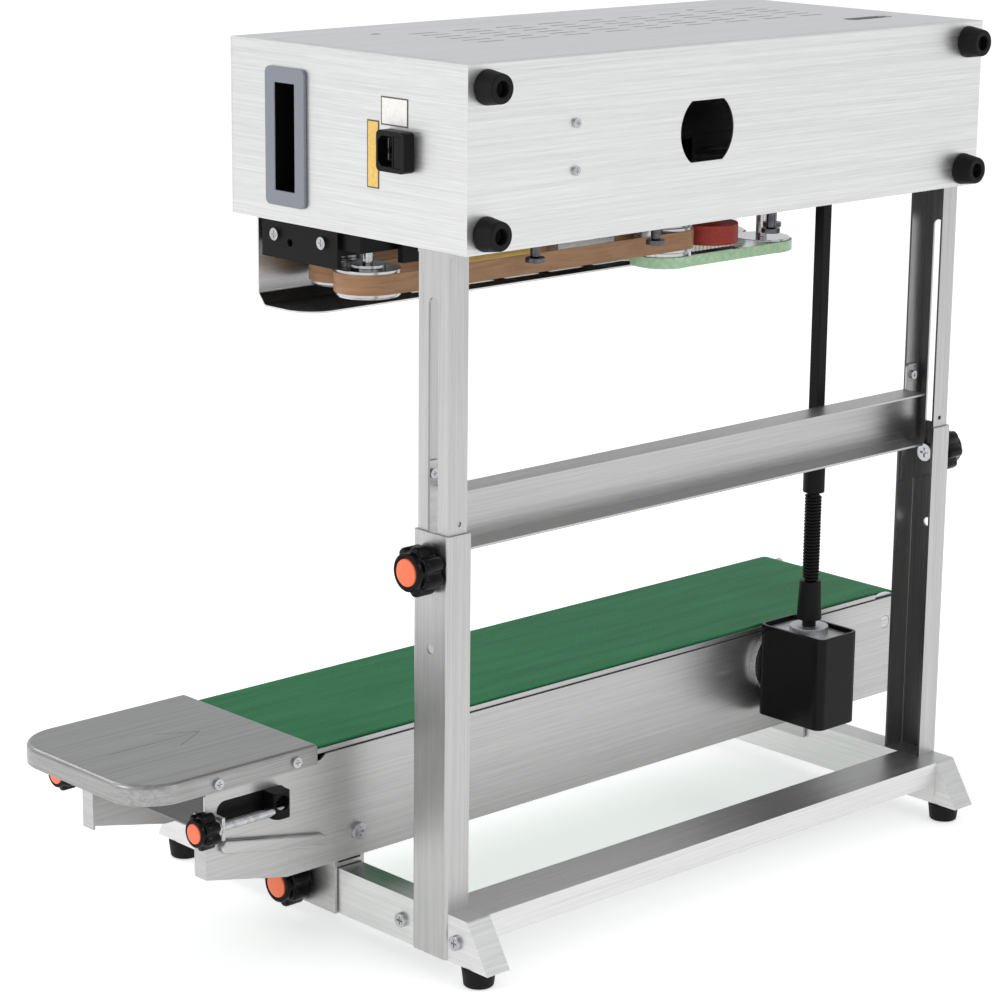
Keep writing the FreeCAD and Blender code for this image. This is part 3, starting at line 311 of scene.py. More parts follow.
satin_abs, tree, shader, where = new_finish("satin_black_abs", IOR=1.53, Specular_IOR_Level=0.14)
leather = blobs(tree, where, (0.0008, 0.0008, 0.0008))
paint(tree, shader, leather, "#09090a", "#111112")
roughen(tree, shader, leather, 0.36, 0.50)
emboss(tree, shader, leather, 0.00006)

grey_abs, tree, shader, where = new_finish("grey_blue_abs", IOR=1.53)
leather = blobs(tree, where, (0.0009, 0.0009, 0.0009))
paint(tree, shader, leather, "#72767f", "#858a94")
roughen(tree, shader, leather, 0.38, 0.50)
emboss(tree, shader, leather, 0.00006)

orange_abs, tree, shader, where = new_finish("orange_abs", IOR=1.53)
leather = blobs(tree, where, (0.0008, 0.0008, 0.0008))
paint(tree, shader, leather, "#f0683e", "#fb7f55")
roughen(tree, shader, leather, 0.40, 0.52)
emboss(tree, shader, leather, 0.00004)
print(gloss_abs.name, satin_abs.name, grey_abs.name, orange_abs.name)

# %% Rubbers
black_rubber, tree, shader, where = new_finish("black_rubber", IOR=1.52, Specular_IOR_Level=0.16)
bloom = blobs(tree, where, (0.005, 0.005, 0.005), detail=5.0)
paint(tree, shader, bloom, "#090909", "#131313")
roughen(tree, shader, bloom, 0.48, 0.66)
emboss(tree, shader, bloom, 0.00008)

red_silicone, tree, shader, where = new_finish("red_silicone_rubber", IOR=1.43)
dust = blobs(tree, where, (0.003, 0.003, 0.003), detail=5.0)
paint(tree, shader, dust, "#8e2c22", "#a83a2c")
roughen(tree, shader, dust, 0.55, 0.70)
emboss(tree, shader, dust, 0.00008)

green_urethane, tree, shader, where = new_finish("pale_green_polyurethane", IOR=1.5)
wear = blobs(tree, where, (0.004, 0.004, 0.004))
paint(tree, shader, wear, "#9cc49a", "#b9d8b2")
roughen(tree, shader, wear, 0.32, 0.46)
emboss(tree, shader, wear, 0.00004)
print(black_rubber.name, red_silicone.name, green_urethane.name)

# %% [markdown]
# ## Conveyor belt and sealing bands
# The conveyor belt is green PVC on a woven polyester back: satin above, with a faint imprint of the
# weave, and brown fibres at its cut edge. The sealing bands are glass cloth soaked in brown PTFE,
# so their weave shows. Both patterns follow the loop, so they read a UV map in metres that is
# made with each band. Real threads are 0.5 mm apart. So that they show, the belt's imprint is drawn
# 2.2 mm apart, and the bands' weave 2.8 mm: a wave texture of scale 1 repeats after 0.314 m.

# %% Belt and band finishes
IMPRINT = 0.0022
belt_green, tree, shader, where = new_finish("green_pvc_belt", IOR=1.5, Specular_IOR_Level=0.12)
run = add(tree, "ShaderNodeUVMap", uv_map="run").outputs["UV"]
imprint = add(tree, "ShaderNodeTexNoise",
              {"Vector": run, "Scale": 1 / IMPRINT, "Detail": 2.0}).outputs["Fac"]
scuff = blobs(tree, run, (0.120, 0.012, 0.012))
paint(tree, shader, scuff, "#1f6c42", "#2a7c4e")
roughen(tree, shader, imprint, 0.46, 0.58)
emboss(tree, shader, imprint, 0.00006)

belt_edge, tree, shader, where = new_finish("woven_belt_edge", IOR=1.5, Roughness=0.8)
fibres = blobs(tree, where, (0.0015, 0.0015, 0.0004))
paint(tree, shader, fibres, "#2d241c", "#7b6750")
emboss(tree, shader, fibres, 0.00010)

WEAVE_SCALE = 113.68545
band_cloth, tree, shader, where = new_finish("brown_ptfe_glass_cloth", IOR=1.38)
run = add(tree, "ShaderNodeUVMap", uv_map="run").outputs["UV"]
warp, weft = [add(tree, "ShaderNodeTexWave", {"Vector": run, "Scale": WEAVE_SCALE},
                  bands_direction=way).outputs["Fac"] for way in "XY"]
weave = add(tree, "ShaderNodeMath", {0: warp, 1: weft}, operation="MULTIPLY").outputs["Value"]
shade = blobs(tree, run, (0.030, 0.003, 0.003))
paint(tree, shader, shade, "#8e6848", "#a27a58")
roughen(tree, shader, weave, 0.34, 0.50)
emboss(tree, shader, weave, 0.00010)
print(belt_green.name, belt_edge.name, band_cloth.name)

# %% [markdown]
# ## Label films and the display window
# Labels are printed polyester film, white or yellow with a dark border, slightly uneven in tone. The
# controller's window is smoked acrylic, nearly black and very smooth, so it mirrors the room.

# %% Label films and window
white_film, tree, shader, where = new_finish("white_label_film", IOR=1.5)
fleck = blobs(tree, where, (0.003, 0.003, 0.003))
paint(tree, shader, fleck, "#e6e4de", "#f2f1ec")
roughen(tree, shader, fleck, 0.30, 0.42)

yellow_film, tree, shader, where = new_finish("yellow_label_film", IOR=1.5)
fleck = blobs(tree, where, (0.003, 0.003, 0.003))
paint(tree, shader, fleck, "#e0b355", "#ecc76f")
roughen(tree, shader, fleck, 0.30, 0.42)

ink, tree, shader, where = new_finish("dark_label_border", IOR=1.5)
fleck = blobs(tree, where, (0.002, 0.002, 0.002))
paint(tree, shader, fleck, "#4b4440", "#5d5550")
roughen(tree, shader, fleck, 0.40, 0.50)

window_glass, tree, shader, where = new_finish("dark_display_window", IOR=1.49)
fleck = blobs(tree, where, (0.008, 0.008, 0.008))
paint(tree, shader, fleck, "#120607", "#1c0a0b")
roughen(tree, shader, fleck, 0.05, 0.10)
print(white_film.name, yellow_film.name, ink.name, window_glass.name)

# %% [markdown]
# ## A finish for every node of the frame
# The record says which material each node is made of, so one table turns that word into a finish.
# Steel also needs its grain: legs are rolled upwards, rails front to back, and the rest lengthwise.
# The head's sheets get the lightest copy of the steel, and the stand and the table plate get darker copies,
# as painted shade.
# The inner side of the far leg and the top of the guard, which see little light, get the darkest copy, also
# painted shade.

# %% Finishes of the frame
finish_of = {"black_plastic": satin_abs, "grey_plastic": grey_abs, "black_rubber": black_rubber,
             "green_belt": belt_green, "green_toothed_belt": green_urethane, "brown_band": band_cloth,
             "red_rubber": red_silicone, "chrome": zinc, "black_metal": black_paint,
             "aluminium": cast, "brass": brass, "dark_steel": dark_steel}
slot_of = {part["node"]: part["material_slot"] for part in frame["record"]["subparts"]}
grain_up = ("upper_leg_infeed", "upper_leg_outfeed", "lower_leg_infeed", "lower_leg_outfeed")
grain_across = ("side_rails",)
head_sheets = ("head_housing", "top_cover", "front_panel", "front_guard", "rear_bar", "side_rails")
far_legs = ("upper_leg_outfeed", "lower_leg_outfeed")


FACING = 0.7


def steel_of(node, normal):
    """The steel of one face: its grain never points out of the face."""
    # Painted light and shade: the head's sheets take the light copy, the stand and the table plate the
    # copies darkened as painted shade.
    family = shaded_plate_steel if node == "infeed_plate" else shaded_stand_steel
    if node in head_sheets:
        family = lit_head_steel
    # Painted shade: the far legs' inner faces and the guard's top take the darkest copy.
    if node in far_legs and normal.x > FACING or node == "front_guard" and normal.z > 0.5:
        family = painted_shade_steel
    grain = 2 if node in grain_up else 1 if node in grain_across else 0
    if abs(normal[grain]) > FACING:
        grain = 1 if grain == 0 else 0
    return family[grain]


def put_finish(piece, node):
    """Gives a node, or a copy of it, the finish of its slot."""
    piece.data.materials.clear()
    if slot_of[node] != "brushed_steel":
        piece.data.materials.append(finish_of[slot_of[node]])
        return
    used = []
    for face in piece.data.polygons:
        wanted = steel_of(node, face.normal)
        if wanted not in used:
            used.append(wanted)
            piece.data.materials.append(wanted)
        face.material_index = used.index(wanted)


for node, solid in frame["nodes"].items():
    put_finish(solid, node)
print("nodes with a finish", len(frame["nodes"]))

# %% [markdown]
# ## Working by hand, from a script
# An operator acts on whatever is selected. The frame arrives selected, and a new primitive is
# selected all over, so each step first clears the selection and then picks faces or edges by their
# place or direction. A finished piece keeps its object at the origin, with its place in its mesh.

# %% Selecting and finishing
def select(*pieces):
    """Selects only these objects and makes the first one active."""
    bpy.ops.object.select_all(action="DESELECT")
    for piece in pieces:
        piece.select_set(True)
    bpy.context.view_layer.objects.active = pieces[0]
    return pieces[0]


def pick(test, kind="FACE"):
    """In edit mode, selects the faces, edges or vertices for which test(place, direction) holds."""
    bpy.ops.mesh.select_mode(type=kind)
    bpy.ops.mesh.select_all(action="DESELECT")
    shape = bmesh.from_edit_mesh(bpy.context.object.data)
    for part in {"FACE": shape.faces, "EDGE": shape.edges, "VERT": shape.verts}[kind]:
        if kind == "FACE":
            place, direction = part.calc_center_median(), part.normal
        elif kind == "EDGE":
            ends = [v.co for v in part.verts]
            place, direction = (ends[0] + ends[1]) / 2, (ends[1] - ends[0]).normalized()
        else:
            place, direction = part.co, part.normal
        if test(place, direction):
            part.select_set(True)
    shape.select_flush_mode()
    bmesh.update_edit_mesh(bpy.context.object.data)


def edit(piece):
    """Goes into edit mode on one object."""
    select(piece)
    bpy.ops.object.mode_set(mode="EDIT")


def leave():
    """Goes back to object mode."""
    bpy.ops.object.mode_set(mode="OBJECT")


def settle(piece, name, finish, body, replaced=()):
    """Writes a piece's place into its mesh, names it, finishes it and lets it ride on a body."""
    select(piece)
    bpy.ops.object.transform_apply(location=True, rotation=True, scale=True)
    piece.name = name
    piece.data.name = name
    if finish:
        piece.data.materials.clear()
        piece.data.materials.append(finish)
    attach(piece, body)
    if replaced:
        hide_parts(*replaced)
    return piece


def copy_at(piece, place):
    """A copy with a mesh of its own, put in place by a matrix."""
    made = bpy.data.objects.new(piece.name, piece.data.copy())
    made.data.transform(place @ piece.matrix_world)
    bpy.context.collection.objects.link(made)
    return made


def join(pieces):
    """Joins objects into the first."""
    select(*pieces)
    if len(pieces) > 1:
        bpy.ops.object.join()
    return bpy.context.object


SHARP = 35


def smooth(piece, degrees=SHARP):
    """Smooth shading, except across edges sharper than an angle."""
    select(piece)
    bpy.ops.object.shade_smooth_by_angle(angle=math.radians(degrees))
    return piece


print("hand tools ready")

# %% [markdown]
# ## Rounded sheet edges
# Cut and folded sheet has no sharp corner: its edges are broken, and each catches a thin line of
# light. The frame's solids have sharp edges, so the visible ones are copied, their loose triangles
# merged back into whole faces, and every edge over 35 degrees gets a narrow bevel. The bevel is a
# modifier, applied at once, and the copy stands for its node. Weighted normals then keep the large
# flat faces flat, so that the bevel doesn't shade across them. Widths are in millimetres.

# %% Rounding a copy of a node
TOUCHING, FLAT = 0.000002, math.radians(0.6)


def rounded_copy(node, width, finish=None, segments=2):
    """A bevelled copy of a CAD node that stands for it."""
    solid = frame["nodes"][node]
    piece = bpy.data.objects.new("rounded_" + node, solid.data.copy())
    bpy.context.collection.objects.link(piece)
    edit(piece)
    bpy.ops.mesh.select_all(action="SELECT")
    bpy.ops.mesh.remove_doubles(threshold=TOUCHING)
    bpy.ops.mesh.dissolve_limited(angle_limit=FLAT)
    leave()
    bevel = piece.modifiers.new("edges", "BEVEL")
    bevel.width, bevel.segments = width, segments
    bevel.limit_method, bevel.angle_limit = "ANGLE", math.radians(SHARP)
    bpy.ops.object.modifier_apply(modifier="edges")
    smooth(piece)
    level = piece.modifiers.new("level", "WEIGHTED_NORMAL")
    level.keep_sharp, level.weight, level.mode = True, 100, "FACE_AREA"
    bpy.ops.object.modifier_apply(modifier="level")
    if not finish:
        put_finish(piece, node)
    return settle(piece, "rounded_" + node, finish, solid["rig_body"], (node,))


sheet_edges = {
    "head_housing": 0.6, "front_panel": 0.5, "top_cover": 0.5, "side_rails": 0.8, "rear_bar": 0.8,
    "upper_leg_infeed": 0.5, "upper_leg_outfeed": 0.5, "lower_leg_infeed": 0.5,
    "lower_leg_outfeed": 0.5, "cross_brace": 0.5, "conveyor_side_back": 0.5,
    "conveyor_side_front": 0.5, "infeed_plate": 0.4, "rail_clamps": 0.6, "front_guard": 0.4,
}
for node, width in sheet_edges.items():
    rounded_copy(node, width / 1000)
print("rounded sheets", len(sheet_edges))

# %% Rounded castings, mouldings and rubber
moulded_edges = {
    "gearbox_cover": (1.2, gloss_abs), "gearbox_housing": (0.8, None), "handle_cups": (0.8, None),
    "power_inlet": (0.7, None), "belt_end_bracket": (0.6, None), "heating_blocks": (0.5, None),
    "cooling_blocks": (0.3, None), "head_feet": (1.2, None), "base_feet": (1.5, None),
    "tension_blocks": (0.7, black_paint), "drive_tube": (0.5, black_paint),
    "gearbox_input": (0.8, black_paint), "panel_instruments": (0.6, None),
    "power_switch": (0.4, gloss_abs), "speed_knob": (1.0, gloss_abs), "conveyor_bed": (0.5, None),
}
for node, (width, finish) in moulded_edges.items():
    rounded_copy(node, width / 1000, finish, segments=3)
print("rounded castings and mouldings", len(moulded_edges))

# %% Rounded turning parts
turning_edges = {
    "infeed_pulley_back": turned, "infeed_pulley_front": turned, "drive_spindle_back": turned,
    "drive_spindle_front": turned, "guide_pulley_back": turned, "guide_pulley_front": turned,
    "press_wheel": red_silicone, "emboss_wheel": turned, "outfeed_roller": turned,
    "infeed_roller": turned, "drive_roller": turned,
}
for node, finish in turning_edges.items():
    rounded_copy(node, 0.0005, finish)
print("rounded turning parts", len(turning_edges))

# %% [markdown]
# ## Screws
# The machine is held by pan-head screws with a crossed recess. One is modelled at unit size: a
# cylinder whose top edge is bevelled into a dome, and a cross cut by a boolean. It is then copied
# to each place, scaled to each head. The places are read from the frame: each solid of a fastener
# node tells where its axis lies, how wide its head is, and at which end. A long thin solid is a rod
# or a post, and gets no head.

# %% One pan head
PAN_HEIGHT = 0.6
bpy.ops.mesh.primitive_cylinder_add(vertices=40, radius=1, depth=PAN_HEIGHT, location=(0, 0, PAN_HEIGHT / 2))
pan = bpy.context.object
edit(pan)
pick(lambda place, along: place.z > PAN_HEIGHT - 0.01 and abs(along.z) < 0.1, "EDGE")
bpy.ops.mesh.bevel(offset=0.42, segments=5, profile=0.5, affect="EDGES")
leave()
for size in ((1.05, 0.20, 0.5), (0.20, 1.05, 0.5)):
    bpy.ops.mesh.primitive_cube_add(size=1, location=(0, 0, 0.62), scale=size)
    cutter = bpy.context.object
    select(pan)
    cut = pan.modifiers.new("cross", "BOOLEAN")
    cut.operation, cut.object = "DIFFERENCE", cutter
    bpy.ops.object.modifier_apply(modifier="cross")
    bpy.data.objects.remove(cutter)
edge = pan.modifiers.new("edge", "BEVEL")
edge.width, edge.segments, edge.limit_method = 0.03, 1, "ANGLE"
edge.angle_limit = math.radians(50)
bpy.ops.object.modifier_apply(modifier="edge")
smooth(pan)
print("pan head faces", len(pan.data.polygons))

# %% One shank
bpy.ops.mesh.primitive_cylinder_add(vertices=24, radius=1, depth=1, location=(0, 0, 0.5))
shank = bpy.context.object
edit(shank)
pick(lambda place, along: abs(along.z) < 0.1, "EDGE")
bpy.ops.mesh.bevel(offset=0.08, segments=2, affect="EDGES")
leave()
smooth(shank)
print("shank faces", len(shank.data.polygons))


# %% Reading the solids of a node
def solids_of(node):
    """The points of each separate solid of a CAD node."""
    shape = bmesh.new()
    shape.from_mesh(frame["nodes"][node].data)
    bmesh.ops.remove_doubles(shape, verts=shape.verts, dist=TOUCHING)
    left, found = set(shape.verts), []
    while left:
        group, edge_of = set(), [left.pop()]
        while edge_of:
            vertex = edge_of.pop()
            group.add(vertex)
            for link in vertex.link_edges:
                other = link.other_vert(vertex)
                if other in left:
                    left.discard(other)
                    edge_of.append(other)
        found.append([v.co.copy() for v in group])
    shape.free()
    return found


def corners(points):
    """Lowest and highest corner of some points."""
    return (Vector([min(p[i] for p in points) for i in range(3)]),
            Vector([max(p[i] for p in points) for i in range(3)]))


print("screws on the conveyor", len(solids_of("conveyor_screws")))


# %% Turning a round solid into a fastener
SAME_RADIUS, SAME_LEVEL, SHORTEST = 0.0001, 0.0002, 0.0005
ROD_SLIMNESS = 6


def fastener(points, node_middle):
    """Copies of the head and shank that fit one round solid."""
    low, high = corners(points)
    size = high - low
    middle = (low + high) / 2

    def reach(p, i):
        return math.hypot(*[p[j] - middle[j] for j in range(3) if j != i])

    axis = min(range(3), key=lambda i: len({round(reach(p, i) / SAME_LEVEL) for p in points}))
    away = [(p[axis], reach(p, axis)) for p in points]
    widest = max(r for _, r in away)
    unit = Vector([1.0 if i == axis else 0.0 for i in range(3)])
    levels = [at for at, r in away if r > widest - SAME_RADIUS]
    head_low, head_high = min(levels), max(levels)
    ends = [max(r for at, r in away if abs(at - end) < SAME_LEVEL) for end in (low[axis], high[axis])]

    def put(shape, start, direction, radius, length):
        spot = middle.copy()
        spot[axis] = start
        turned_to = direction.to_track_quat("Z", "Y").to_matrix().to_4x4()
        sized = Matrix.Diagonal((radius, radius, length, 1))
        return copy_at(shape, Matrix.Translation(spot) @ turned_to @ sized)

    long_below, long_above = head_low - low[axis], high[axis] - head_high
    if size[axis] > ROD_SLIMNESS * widest:
        return [put(shank, low[axis], unit, widest, size[axis])]
    way = 1 if long_below > long_above else -1
    if max(long_below, long_above) < 2 * SHORTEST:
        way = 1 if middle[axis] > node_middle[axis] else -1
    seat = head_low if way > 0 else head_high
    tip = high[axis] if way > 0 else low[axis]
    other = low[axis] if way > 0 else high[axis]
    made = [put(pan, seat, unit * way, widest, abs(tip - seat) / PAN_HEIGHT)]
    if abs(other - seat) > SHORTEST:
        slim = min(ends) if min(ends) > SHORTEST else widest / 2
        made.append(put(shank, seat, unit * -way, slim, abs(other - seat)))
    return made


for node in ("base_screws", "conveyor_screws"):
    low, high = corners([p for points in solids_of(node) for p in points])
    made = [piece for points in solids_of(node) for piece in fastener(points, (low + high) / 2)]
    settle(join(made), "detailed_" + node, zinc, frame["nodes"][node]["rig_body"], (node,))
    print(node, "fasteners from", len(made), "copies")

everything = solids_of("head_fasteners")
low, high = corners([p for points in everything for p in points])
posts, screws = [], []
POST_LENGTH = 0.030
for points in everything:
    long = (corners(points)[1] - corners(points)[0]).z > POST_LENGTH
    (posts if long else screws).extend(fastener(points, (low + high) / 2))
head_body = frame["nodes"]["head_fasteners"]["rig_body"]
settle(join(screws), "detailed_head_screws", zinc, head_body, ("head_fasteners",))
settle(join(posts), "head_posts", dark_steel, head_body)
print("head screws and posts from", len(everything), "solids")

# %% [markdown]
# ## Star knobs
# Three clamping knobs and two smaller tensioning knobs have seven lobes, a round cap let into the
# face and a zinc rod. A mould gives them broad lobes with hollow scallops between, so the cylinder
# has twelve sides to each lobe, and the corners in the scallops are drawn towards the axis, deepest
# in the middle. The rims are then bevelled wide. A knob is modelled once, with its face at zero and
# its axis along Z, and copied.

# %% The lobed body
LOBES, SIDES = 7, 12
SCALLOP = (0.80, 0.825, 0.885, 0.945, 0.985)


def at_step(side):
    """A test for the corners that stand this many sides past the middle of a scallop."""
    def test(place, normal):
        return round(math.atan2(place.y, place.x) / (2 * math.pi / (LOBES * SIDES))) % SIDES == side

    return test


bpy.ops.mesh.primitive_cylinder_add(vertices=LOBES * SIDES, radius=0.0200, depth=0.018,
                                    location=(0, 0, -0.0145))
star = bpy.context.object
edit(star)
for step, draw in enumerate(SCALLOP):
    for side in sorted({step, -step % SIDES}):
        pick(at_step(side), "VERT")
        bpy.ops.transform.resize(value=(draw, draw, 1))
pick(lambda place, along: abs(along.z) < 0.1, "EDGE")
bpy.ops.mesh.bevel(offset=0.0022, segments=4, affect="EDGES")
leave()
smooth(star, 40)
print("lobed body", len(star.data.polygons), [round(d * 1000, 1) for d in star.dimensions])

# %% The boss, the cap and the washer
bpy.ops.mesh.primitive_cylinder_add(vertices=56, radius=0.0152, depth=0.014, location=(0, 0, -0.008))
boss = bpy.context.object
edit(boss)
pick(lambda place, normal: normal.z > 0.9)
bpy.ops.mesh.inset(thickness=0.0041)
bpy.ops.mesh.extrude_region_move(TRANSFORM_OT_translate={"value": (0, 0, -0.0018)})
pick(lambda place, along: place.z > -0.0012 and abs(along.z) < 0.1, "EDGE")
bpy.ops.mesh.bevel(offset=0.0010, segments=3, affect="EDGES")
leave()
smooth(boss)
star = join([star, boss])
knob_size = star.dimensions.copy()

bpy.ops.mesh.primitive_cylinder_add(vertices=56, radius=0.01085, depth=0.0030, location=(0, 0, -0.0015))
cap = bpy.context.object
edit(cap)
pick(lambda place, along: place.z > -0.0001 and abs(along.z) < 0.1, "EDGE")
bpy.ops.mesh.bevel(offset=0.0008, segments=3, affect="EDGES")
leave()
smooth(cap)

bpy.ops.mesh.primitive_cylinder_add(vertices=48, radius=0.0085, depth=0.0014, location=(0, 0, -0.0243))
washer = bpy.context.object
edit(washer)
pick(lambda place, along: abs(along.z) < 0.1, "EDGE")
bpy.ops.mesh.bevel(offset=0.0003, segments=2, affect="EDGES")
leave()
smooth(washer)
print("knob", [round(d * 1000, 1) for d in knob_size], "mm")


# %% The five knobs in place
CAP_ACROSS, KNOB_DEPTH, ROD_RADIUS = 0.0219, 0.0250, 0.004


def bulk(points):
    """Length of the diagonal of some points' box."""
    low, high = corners(points)
    return (high - low).length


def place_knob(node):
    """Body, cap, washer and rod of one knob, read from its node's two solids."""
    body = frame["nodes"][node]["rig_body"]
    whole, disc = sorted(solids_of(node), key=bulk, reverse=True)
    low, high = corners(whole)
    cap_low, cap_high = corners(disc)
    middle, size = (cap_low + cap_high) / 2, (cap_high.z - cap_low.z) / CAP_ACROSS
    way = 1 if middle.x > (low.x + high.x) / 2 else -1
    face = cap_high.x if way > 0 else cap_low.x
    far = low.x if way > 0 else high.x
    direction = Vector((way, 0, 0))
    turned_to = direction.to_track_quat("Z", "Y").to_matrix().to_4x4()
    at_face = Matrix.Translation((face, middle.y, middle.z)) @ turned_to @ Matrix.Scale(size, 4)
    settle(copy_at(star, at_face), node + "_body", gloss_abs, body, (node,))
    settle(copy_at(cap, at_face), node + "_cap", orange_abs, body)
    seat = face - way * KNOB_DEPTH * size
    metal = [copy_at(washer, at_face)]
    length = abs(far - seat)
    turned_back = (-direction).to_track_quat("Z", "Y").to_matrix().to_4x4()
    at_seat = Matrix.Translation((seat, middle.y, middle.z)) @ turned_back
    metal.append(copy_at(shank, at_seat @ Matrix.Diagonal((ROD_RADIUS, ROD_RADIUS, length, 1))))
    if node.startswith("leg_knob"):
        head = Matrix.Translation((0, 0, length - 0.0040))
        head @= Matrix.Diagonal((2 * ROD_RADIUS, 2 * ROD_RADIUS, 0.0067, 1))
        metal.append(copy_at(pan, at_seat @ head))
    if node.startswith("tension_knob"):
        ring = Matrix.Translation((0, 0, 0.0007))
        ring @= Matrix.Diagonal((2 * ROD_RADIUS, 2 * ROD_RADIUS, 0.0040, 1))
        metal.append(copy_at(shank, at_seat @ ring))
    settle(join(metal), node + "_rod", zinc, body)
    return way


for node in ("leg_knob_infeed", "leg_knob_outfeed", "clamp_knob", "tension_knob_back",
             "tension_knob_front"):
    print(node, "faces", "+X" if place_knob(node) > 0 else "-X")

# %% [markdown]
# ## Belts and bands
# A belt round two pulleys is a circle cut in half and pulled apart. The circle's vertices sit half
# a step off the axis, so the straight runs come out level. The ring is then extruded to the belt's
# width and given its thickness. A UV map in metres is written while the mesh is still a thin
# ring, so that the pattern runs with the loop and turns round its ends.

# %% A loop round two pulleys
def loop_band(start, end, outer, thickness, low, high, finish):
    """A band in the XY plane round centres start and end, from height low to high."""
    span, radius, steps = (end - start).x, outer, 96
    bpy.ops.mesh.primitive_circle_add(vertices=steps, radius=radius, rotation=(0, 0, math.pi / steps))
    band = bpy.context.object
    bpy.ops.object.transform_apply(rotation=True)
    edit(band)
    pick(lambda place, normal: place.x > 0, "VERT")
    bpy.ops.transform.translate(value=(span, 0, 0))
    bpy.ops.mesh.select_all(action="SELECT")
    bpy.ops.mesh.extrude_region_move(TRANSFORM_OT_translate={"value": (0, 0, high - low)})
    bpy.ops.mesh.select_all(action="SELECT")
    bpy.ops.mesh.normals_make_consistent(inside=False)
    leave()
    layer = band.data.uv_layers.new(name="run")
    for face in band.data.polygons:
        middle = face.center
        for corner in face.loop_indices:
            point = band.data.vertices[band.data.loops[corner].vertex_index].co
            layer.data[corner].uv = (run_length(point, middle, span, radius), point.z)
    wall = band.modifiers.new("wall", "SOLIDIFY")
    wall.thickness, wall.offset, wall.use_even_offset = thickness, -1, True
    wall.material_offset_rim = 1
    select(band)
    bpy.ops.object.modifier_apply(modifier="wall")
    band.data.transform(Matrix.Translation((start.x, start.y, low)))
    for one in finish:
        band.data.materials.append(one)
    return smooth(band)


def run_length(point, middle, span, radius):
    """Distance along the loop, counted counterclockwise from the end of the lower run."""
    if middle.x > span:
        return span + radius * (math.atan2(point.y, point.x - span) + math.pi / 2)
    if middle.x < 0:
        return 2 * span + radius * (math.pi + (math.atan2(point.y, point.x) - math.pi / 2) % (2 * math.pi))
    return point.x if middle.y < 0 else 2 * span + radius * math.pi - point.x


print("loop builder ready")


# %% Sealing bands and the belt
def loop_of(points, upright):
    """Centres, outer radius, and lowest and highest level of a loop that lies along X."""
    low, high = corners(points)
    across, level = (2, 1) if upright else (1, 2)
    outer = (high[across] - low[across]) / 2
    middle = (high[across] + low[across]) / 2
    ends = Vector((low.x + outer, middle, 0)), Vector((high.x - outer, middle, 0))
    return ends, outer, low[level], high[level]


bands = []
for points in solids_of("seal_belts"):
    (start, end), outer, low, high = loop_of(points, False)
    bands.append(loop_band(start, end, outer, 0.0010, low, high, (band_cloth, band_cloth)))
settle(join(bands), "sealing_bands", None, "head", ("seal_belts",))

(start, end), outer, low, high = loop_of(solids_of("conveyor_belt")[0], True)
belt = loop_band(start, end, outer, 0.00195, -high, -low, (belt_green, belt_edge))
belt.data.transform(Matrix.Rotation(math.pi / 2, 4, "X"))
settle(belt, "woven_conveyor_belt", None, "conveyor", ("conveyor_belt",))
print("belt box", [round(v, 4) for corner in corners([v.co for v in belt.data.vertices]) for v in corner])

# %% [markdown]
# ## Toothed guide belts
# Two pale green belts with teeth of 5 mm pitch carry the bag from the cooling blocks to the outfeed
# end. The band is thin, and one tooth, a block with bevelled edges, is copied round its inside.

# %% A place along a loop
TOOTH_PITCH, TOOTH_INSET = 0.005, 0.0014


def along_loop(run, span, radius):
    """X, Y and turn at a distance along a loop, from the start of its lower run."""
    bend = math.pi * radius
    if run < span:
        return run, -radius, 0.0
    if run < span + bend:
        angle = (run - span) / radius
        return span + radius * math.sin(angle), -radius * math.cos(angle), angle
    if run < 2 * span + bend:
        return 2 * span + bend - run, radius, math.pi
    angle = (run - 2 * span - bend) / radius + math.pi
    return radius * math.sin(angle), -radius * math.cos(angle), angle


print("start of a loop", along_loop(0.0, 1.0, 1.0))

# %% Toothed belts
bpy.ops.mesh.primitive_cube_add(size=1, location=(0, 0, 0), scale=(0.0026, 0.0012, 1))
tooth = bpy.context.object
bpy.ops.object.transform_apply(scale=True)
edit(tooth)
pick(lambda place, along: abs(along.z) > 0.9 and place.y < 0, "EDGE")
bpy.ops.mesh.bevel(offset=0.0005, segments=2, affect="EDGES")
leave()
smooth(tooth)
toothed = []
for points in solids_of("guide_belts"):
    (start, end), outer, low, high = loop_of(points, False)
    toothed.append(loop_band(start, end, outer, 0.0009, low, high, (green_urethane, green_urethane)))
    inner, span = outer - TOOTH_INSET, (end - start).x
    total = 2 * span + 2 * math.pi * inner
    count = round(total / TOOTH_PITCH)
    for i in range(count):
        x, y, angle = along_loop(i * total / count, span, inner)
        spot = Matrix.Translation((start.x + x, start.y + y, (low + high) / 2))
        facing = Matrix.Rotation(angle + math.pi, 4, "Z")
        toothed.append(copy_at(tooth, spot @ facing @ Matrix.Diagonal((1, 1, high - low, 1))))
settle(join(toothed), "toothed_guide_belts", None, "head", ("guide_belts",))
bpy.data.objects.remove(tooth)
print("teeth on each belt", count)

# %% [markdown]
# ## Flexible coupling
# A coil of black steel wire joins the gearbox to the square tube. The real coil can bend; this one
# is straight and doesn't. A small ring is swept upwards by the Screw modifier, one turn for each
# coil, over a thin core.

